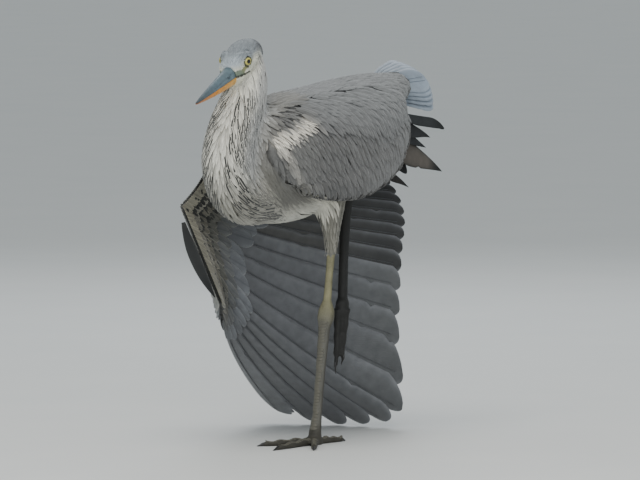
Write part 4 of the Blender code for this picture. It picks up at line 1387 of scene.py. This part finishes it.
def make_eye(name, node, way, material):
    """An eyeball whose map tells how far each point is from the middle of the gaze."""
    centre, gaze = eye_gaze(way)
    deselect()
    bpy.ops.mesh.primitive_uv_sphere_add(segments=48, ring_count=32, radius=EYE_RADIUS)
    eye = bpy.context.object
    eye.name = name
    eye.rotation_mode = "QUATERNION"
    eye.rotation_quaternion = gaze.to_track_quat("Z", "Y")
    eye.location = centre
    make_active(eye)
    bpy.ops.object.transform_apply(location=True, rotation=True, scale=True)
    mesh = eye.data
    off = np.array([(v.co - centre).angle(gaze) for v in mesh.vertices]) / (math.pi / 2)
    while mesh.uv_layers:
        mesh.uv_layers.remove(mesh.uv_layers[0])
    put_map(mesh, "gaze", off, np.zeros(len(off)))
    mesh.shade_smooth()
    mesh.materials.append(material)
    finish_piece(eye, "eye", node)
    return centre, gaze


def make_lids(name, centre, gaze, way, material):
    """The two lids as one almond-shaped rim, pinched to its corners before and behind."""
    deselect()
    bpy.ops.mesh.primitive_torus_add(major_segments=56, minor_segments=14, major_radius=LID_RADIUS,
                                     minor_radius=LID_THICKNESS)
    lids = bpy.context.object
    lids.name = name
    forward = (head_spot(1, 0, 0) - head_spot(0, 0, 0)).normalized()
    across = (forward - gaze * forward.dot(gaze)).normalized()
    upright = gaze.cross(across) * way
    upright = upright if upright.z > 0 else -upright
    for vertex in lids.data.vertices:
        x, y, z = vertex.co
        corner = abs(math.cos(math.atan2(y, x))) ** 6
        wide = x * (1.02 + 0.10 * corner)
        high = y * (0.93 - 0.08 * corner)
        height = 0.0049 + z * 0.8 - (math.hypot(x, y) - 0.0050) * 0.5
        vertex.co = centre + across * wide + upright * high + gaze * height
    lids.data.shade_smooth()
    lids.data.materials.append(material)
    outward(lids)
    finish_piece(lids, "plumage_white")


# ---------------------------------------------------------------- legs, feet, floor, light, camera

def skin_material():
    """Bird skin: its own colour at each place, dull, and pebbled where it is bare."""
    material, shader = new_material("bird_skin", 0.62, Specular_IOR_Level=0.35)
    tint = add_node(material, "Attribute", attribute_name="tint")
    scaly = add_node(material, "Attribute", attribute_name="scaly")
    place = add_node(material, "TexCoord").outputs["Object"]
    # leg scales are 2 to 3 mm across
    cells = add_node(material, "TexVoronoi", {"Vector": place, "Scale": 560.0},
                     feature="DISTANCE_TO_EDGE")
    seam = add_node(material, "MapRange", {"Value": cells.outputs["Distance"], "From Max": 0.12,
                                           "To Min": 0.78})
    # and cloudy over about 14 mm
    cloud = add_node(material, "TexNoise", {"Vector": place, "Scale": 70.0, "Detail": 5.0})
    shade = add_node(material, "MapRange", {"Value": cloud.outputs["Fac"], "From Min": 0.3,
                                            "From Max": 0.7, "To Min": 0.78, "To Max": 1.18})
    both = add_node(material, "Math", {0: seam.outputs["Result"], 1: shade.outputs["Result"]},
                    operation="MULTIPLY")
    use = add_node(material, "Mix", {0: scaly.outputs["Fac"], 2: 1.0, 3: both.outputs[0]},
                   data_type="FLOAT")
    toned = add_node(material, "Mix", {"Factor": 1.0, 6: tint.outputs["Color"], 7: use.outputs[0]},
                     data_type="RGBA", blend_type="MULTIPLY")
    bump = add_node(material, "Bump", {"Strength": 0.6, "Distance": 0.0005,
                                       "Height": use.outputs[0]})
    join(material, shader, "Base Color", toned.outputs[2])
    join(material, shader, "Normal", bump.outputs["Normal"])
    return material


# Painted highlight: the _HIGHLIGHT tones pale the standing leg on its side turned to the camera.
SHIN_OLIVE, SHIN_HIGHLIGHT, TARSUS_GREY, TARSUS_HIGHLIGHT = "#69664a", "#858164", "#3f3d37", "#5f5e57"
# Painted shade: SHADED_LEG darkens the whole lifted leg and its toes.
FOOT_BROWN, SHADED_LEG = "#3c3a33", "#242422"


def leg_colours(skin):
    """Bare-leg and face colours, laid over the plumage's."""
    # painted highlight: paler where the standing leg faces the camera and lamps
    front = soft(-skin.normal[:, 1] + skin.normal[:, 0] * 0.3, 0.1, 0.8)
    down = soft(skin.up, HEEL + 0.012, HEEL - 0.030)[:, None]
    own = (mix(paint(SHIN_OLIVE), SHIN_HIGHLIGHT, front) * (1 - down)
           + mix(paint(TARSUS_GREY), TARSUS_HIGHLIGHT, front) * down)
    own = mix(own, FOOT_BROWN, soft(skin.up, 0.030, 0.012))
    # painted shade: the lifted leg, toes and all, near black
    tint = lay_over(skin.tint, skin.legs, (SHADED_LEG, 1.0))
    left = skin.on(*(n for n in BARE if n.endswith("left")))
    tint = np.where(left[:, None], own, tint)
    far = np.hypot(skin.ahead - EYE_CENTRE[0], skin.above - EYE_CENTRE[2])
    face = mix(paint(LORE), EYE_LINE, soft(far, 0.010, 0.020))
    face = mix(face, EYE_RING, soft(far, 0.0085, 0.0065))
    face = mix(face, MOUTH, mouth_line(skin))
    skin.tint = np.where(bare_face(skin)[:, None], face, tint)


def toe_line(k, standing):
    """Where a toe starts and ends, along its middle, and how thick it starts."""
    length, turned = TOES[k]
    if standing:
        heading = math.radians(turned)
        ahead = Vector((math.sin(heading), -math.cos(heading), 0))
        up = UP * (TOE_RADIUS * 0.6)
        return ahead * 0.006 + up, ahead * length + up * 0.3, TOE_RADIUS
    share, place = HANGING_TOES[k]
    along = (HANGING_END - KNUCKLE_RIGHT).normalized()
    angle = math.radians(place)
    away = Vector((math.sin(angle), -math.cos(angle), 0)) * HANGING_SPREAD
    return (KNUCKLE_RIGHT + along * 0.0075 + away,
            KNUCKLE_RIGHT + along * length * share + away * HANGING_TAPER, HANGING_RADIUS)


def make_scutes(skin, material):
    """Horny plates overlapping down the front of the tarsus and along the top of each toe."""
    deselect()
    bpy.ops.mesh.primitive_uv_sphere_add(segments=10, ring_count=6, radius=1)
    shape, faces = take_shape(bpy.context.object)
    spots = []
    tarsus = skin.on("tarsus_left")
    for height in np.linspace(0.146, 0.020, 36):
        level = skin.left[tarsus & (np.abs(skin.up - height) < 0.003)]
        across, width = (level.min() + level.max()) / 2, (level.max() - level.min()) / 2
        hit = skin.tree.ray_cast(Vector((across, -0.03, height)), Vector((0, 1, 0)))
        if hit[0] is not None:
            spots.append((hit[0], hit[1], DOWN, width * 0.80, 0.0025))
    for k in range(len(TOES)):
        start, end, radius = toe_line(k, True)
        for share in np.linspace(0.10, 0.80, 15):
            place = start.lerp(end, share)
            hit = skin.tree.ray_cast(place + UP * 0.03, DOWN)
            if hit[0] is not None and hit[0].z < 0.016:
                size = radius * (1 - 0.45 * share)
                spots.append((hit[0], hit[1], (end - start).normalized(), size * 0.85, 0.0029))
    points, all_faces = [], []
    for place, facing, down, width, height in spots:
        down = (down - facing * down.dot(facing)).normalized()
        side = down.cross(facing)
        plate = []
        for v in shape:
            bend = -0.45 * width * v.x * v.x
            stand = 0.00042 * v.z + 0.00022 * v.y + bend
            plate.append(place + side * (v.x * width) + down * (v.y * height) + facing * stand)
        add_part(points, all_faces, plate, faces)
    scutes = object_from("scutes_left", points, all_faces, material)
    outward(scutes)
    finish_piece(scutes, "leg_pale")


def make_claws(name, standing, material):
    """Four claws that curve down, or inward to the bundle's middle, from the toes' ends."""
    points, faces = [], []
    for k in range(len(TOES)):
        start, end, radius = toe_line(k, standing)
        along = (end - start).normalized()
        length = (end - start).length * (CLAW_SHARE + 0.03)
        root = end - along * length
        curl = DOWN if standing else (HANGING_END - end)
        curl = (curl - along * curl.dot(along)).normalized()
        line, sizes = [], []
        for t in np.linspace(0, 1, 9):
            arch = curl * (-0.0030 * math.sin(math.pi * min(t * 1.15, 1)) * (1 - t)
                           + 0.0004 * t)
            place = root + along * (length * t * 0.98) + arch
            thick = radius * 0.46 * (1 - t) ** 0.7 + 0.00015
            if standing:
                place.z = max(place.z, thick + 0.0001)
            line.append(place)
            sizes.append(thick)
        add_part(points, faces, *tube(line, sizes, 10, lambda way: way.cross(curl), flat=0.8))
    claws = object_from(name, points, faces, material)
    outward(claws)
    finish_piece(claws, "leg_dark")


def make_floor():
    """A wide studio floor of matt paint, pale and faintly clouded."""
    deselect()
    bpy.ops.mesh.primitive_circle_add(vertices=96, radius=60.0, fill_type="NGON")
    floor = bpy.context.object
    floor.name = "floor"
    material, shader = new_material("pale_studio_floor", 0.8)
    place = add_node(material, "TexCoord")
    cloud = add_node(material, "TexNoise", {"Vector": place.outputs["Object"], "Scale": 6.0,
                                            "Detail": 4.0})
    ramp = add_node(material, "ValToRGB", {"Fac": cloud.outputs["Fac"]})
    colour_stops(ramp, "#cfd1cf", "#d6d7d4")
    join(material, shader, "Base Color", ramp.outputs["Color"])
    floor.data.materials.append(material)


def add_light(name, place, size, power, tint):
    """A round lamp turned to the bird."""
    light = bpy.data.lights.new(name, "AREA")
    light.shape = "DISK"
    light.size = size
    light.energy = power
    light.color = colour(tint)
    lamp = add_object(name, light)
    lamp.location = place
    lamp.rotation_euler = (LIT - Vector(place)).to_track_quat("-Z", "Y").to_euler()


# The camera: how far round and up it looks from, its lens in mm, its distance, and where its middle
# is, to the right and up
VIEW_ROUND, VIEW_UP = math.radians(33), math.radians(4)
LENS, SENSOR, STAND_OFF = 400.0, 36.0, 8.466
AIM_RIGHT, AIM_UP = 0.00595, 0.2435
LIT = Vector((0.0, 0.0, 0.28))        # what the lamps are turned to
# Lamps: name, place, size, power, tint
LAMPS = (("key_overhead", (0.5, -1.3, 2.7), 1.8, 46.0, "#fffaf2"),
         ("fill_front", (1.9, -2.2, 0.9), 1.8, 34.0, "#fbfbff"),
         ("rim_back", (-1.2, 2.0, 1.8), 1.2, 18.0, "#f4f8ff"))
SKY, SKY_STRENGTH = "#dfe6ea", 0.75


def make_stage():
    """Floor, sky, lamps and camera."""
    make_floor()
    world = bpy.data.worlds.new("studio")
    bpy.context.scene.world = world
    world.use_nodes = True
    background = world.node_tree.nodes["Background"]
    background.inputs["Color"].default_value = rgba(SKY)
    background.inputs["Strength"].default_value = SKY_STRENGTH
    for lamp in LAMPS:
        add_light(*lamp)
    right = Vector((math.cos(VIEW_ROUND), math.sin(VIEW_ROUND), 0))
    upward = Vector((-math.sin(VIEW_ROUND) * math.sin(VIEW_UP),
                     math.cos(VIEW_ROUND) * math.sin(VIEW_UP), math.cos(VIEW_UP)))
    back = right.cross(upward)
    camera = bpy.data.cameras.new("camera")
    camera.lens = LENS
    camera.sensor_width = SENSOR
    camera.clip_end = 100.0
    holder = add_object("camera", camera)
    turn = Matrix((right, upward, back)).transposed().to_4x4()
    turn.translation = right * AIM_RIGHT + upward * AIM_UP + back * STAND_OFF
    holder.matrix_world = turn
    bpy.context.scene.camera = holder


# ---------------------------------------------------------------- making

make_stage()
skin = Skin()
feather_lie(skin)
plumage_colours(skin)
leg_colours(skin)
skin.unwrap()
put_values(skin.obj.data, "tint", skin.tint)
put_values(skin.obj.data, "scaly", spread(skin.legs, skin.edges, 3))
skin.obj.data.materials.clear()
skin.obj.data.materials.append(skin_material())
finish_piece(skin.obj, "plumage_grey", *FLESH)

# Feather keratin, dull and lined by barbs: soft contour feathers, the neck's loose plumes, close
# flight feathers, coverts, and black vanes, which have no powder bloom
soft_vane = plumage_material("contour_feather", 60.0, 0.30, 0.08, root_shade_and_rim=0.14)
loose_vane = plumage_material("loose_plume", 40.0, 0.40, 0.08, root_shade_and_rim=0.22)
flight_vane = plumage_material("flight_feather", 330.0, 0.16, 0.0, roughness=0.6)
covert_vane = plumage_material("covert_feather", 110.0, 0.25, 0.30, root_shade_and_rim=0.12)
black_vane = plumage_material("black_flight_feather", 330.0, 0.16, 0.0, roughness=0.7, bloom=0.0)
# Grown horn, plain and smooth: quills and leg scales with a soft shine, claws with a sharper one;
# and the lids' bare skin, dull as the scales
quill_horn, _ = new_material("quill_horn", 0.42, "#46484b")
tail_horn, _ = new_material("tail_quill_horn", 0.5, "#66717b")
scute_horn, _ = new_material("leg_scale", 0.5, "#5a584e", Specular_IOR_Level=0.4)
claw_horn, _ = new_material("claw_horn", 0.35, "#1c1b1a")
lid_skin, _ = new_material("lid_skin", 0.5, "#4f513a")

make_coat(skin, soft_vane, loose_vane)
make_folded_coverts(skin, covert_vane)
make_flight_feathers(flight_vane, quill_horn)
covert_rows("coverts_under_right", UNDER_ROWS, 1, covert_vane, skin)
covert_rows("coverts_upper_right", UPPER_ROWS, -1, covert_vane, skin)
make_alula(flight_vane)
make_folded_quills(black_vane)
make_tail(flight_vane, tail_horn)
make_mandible("mandible_upper", "bill_upper", "horn_dark", True,
              horn_material("bill_horn_blue_grey", "#55686f", "#4b5d66", "#363f43"))
make_mandible("mandible_lower", "bill_lower", "horn_yellow", False,
              horn_material("bill_horn_yellow", "#cf9c3e", "#d48821", "#a86a45"))
make_scutes(skin, scute_horn)
make_claws("claws_left", True, claw_horn)
make_claws("claws_right", False, claw_horn)
wet_eye = eye_material()
for side_name, way in (("left", 1), ("right", -1)):
    centre, gaze = make_eye("eyeball_" + side_name, "eye_" + side_name, way, wet_eye)
    make_lids("lids_" + side_name, centre, gaze, way, lid_skin)
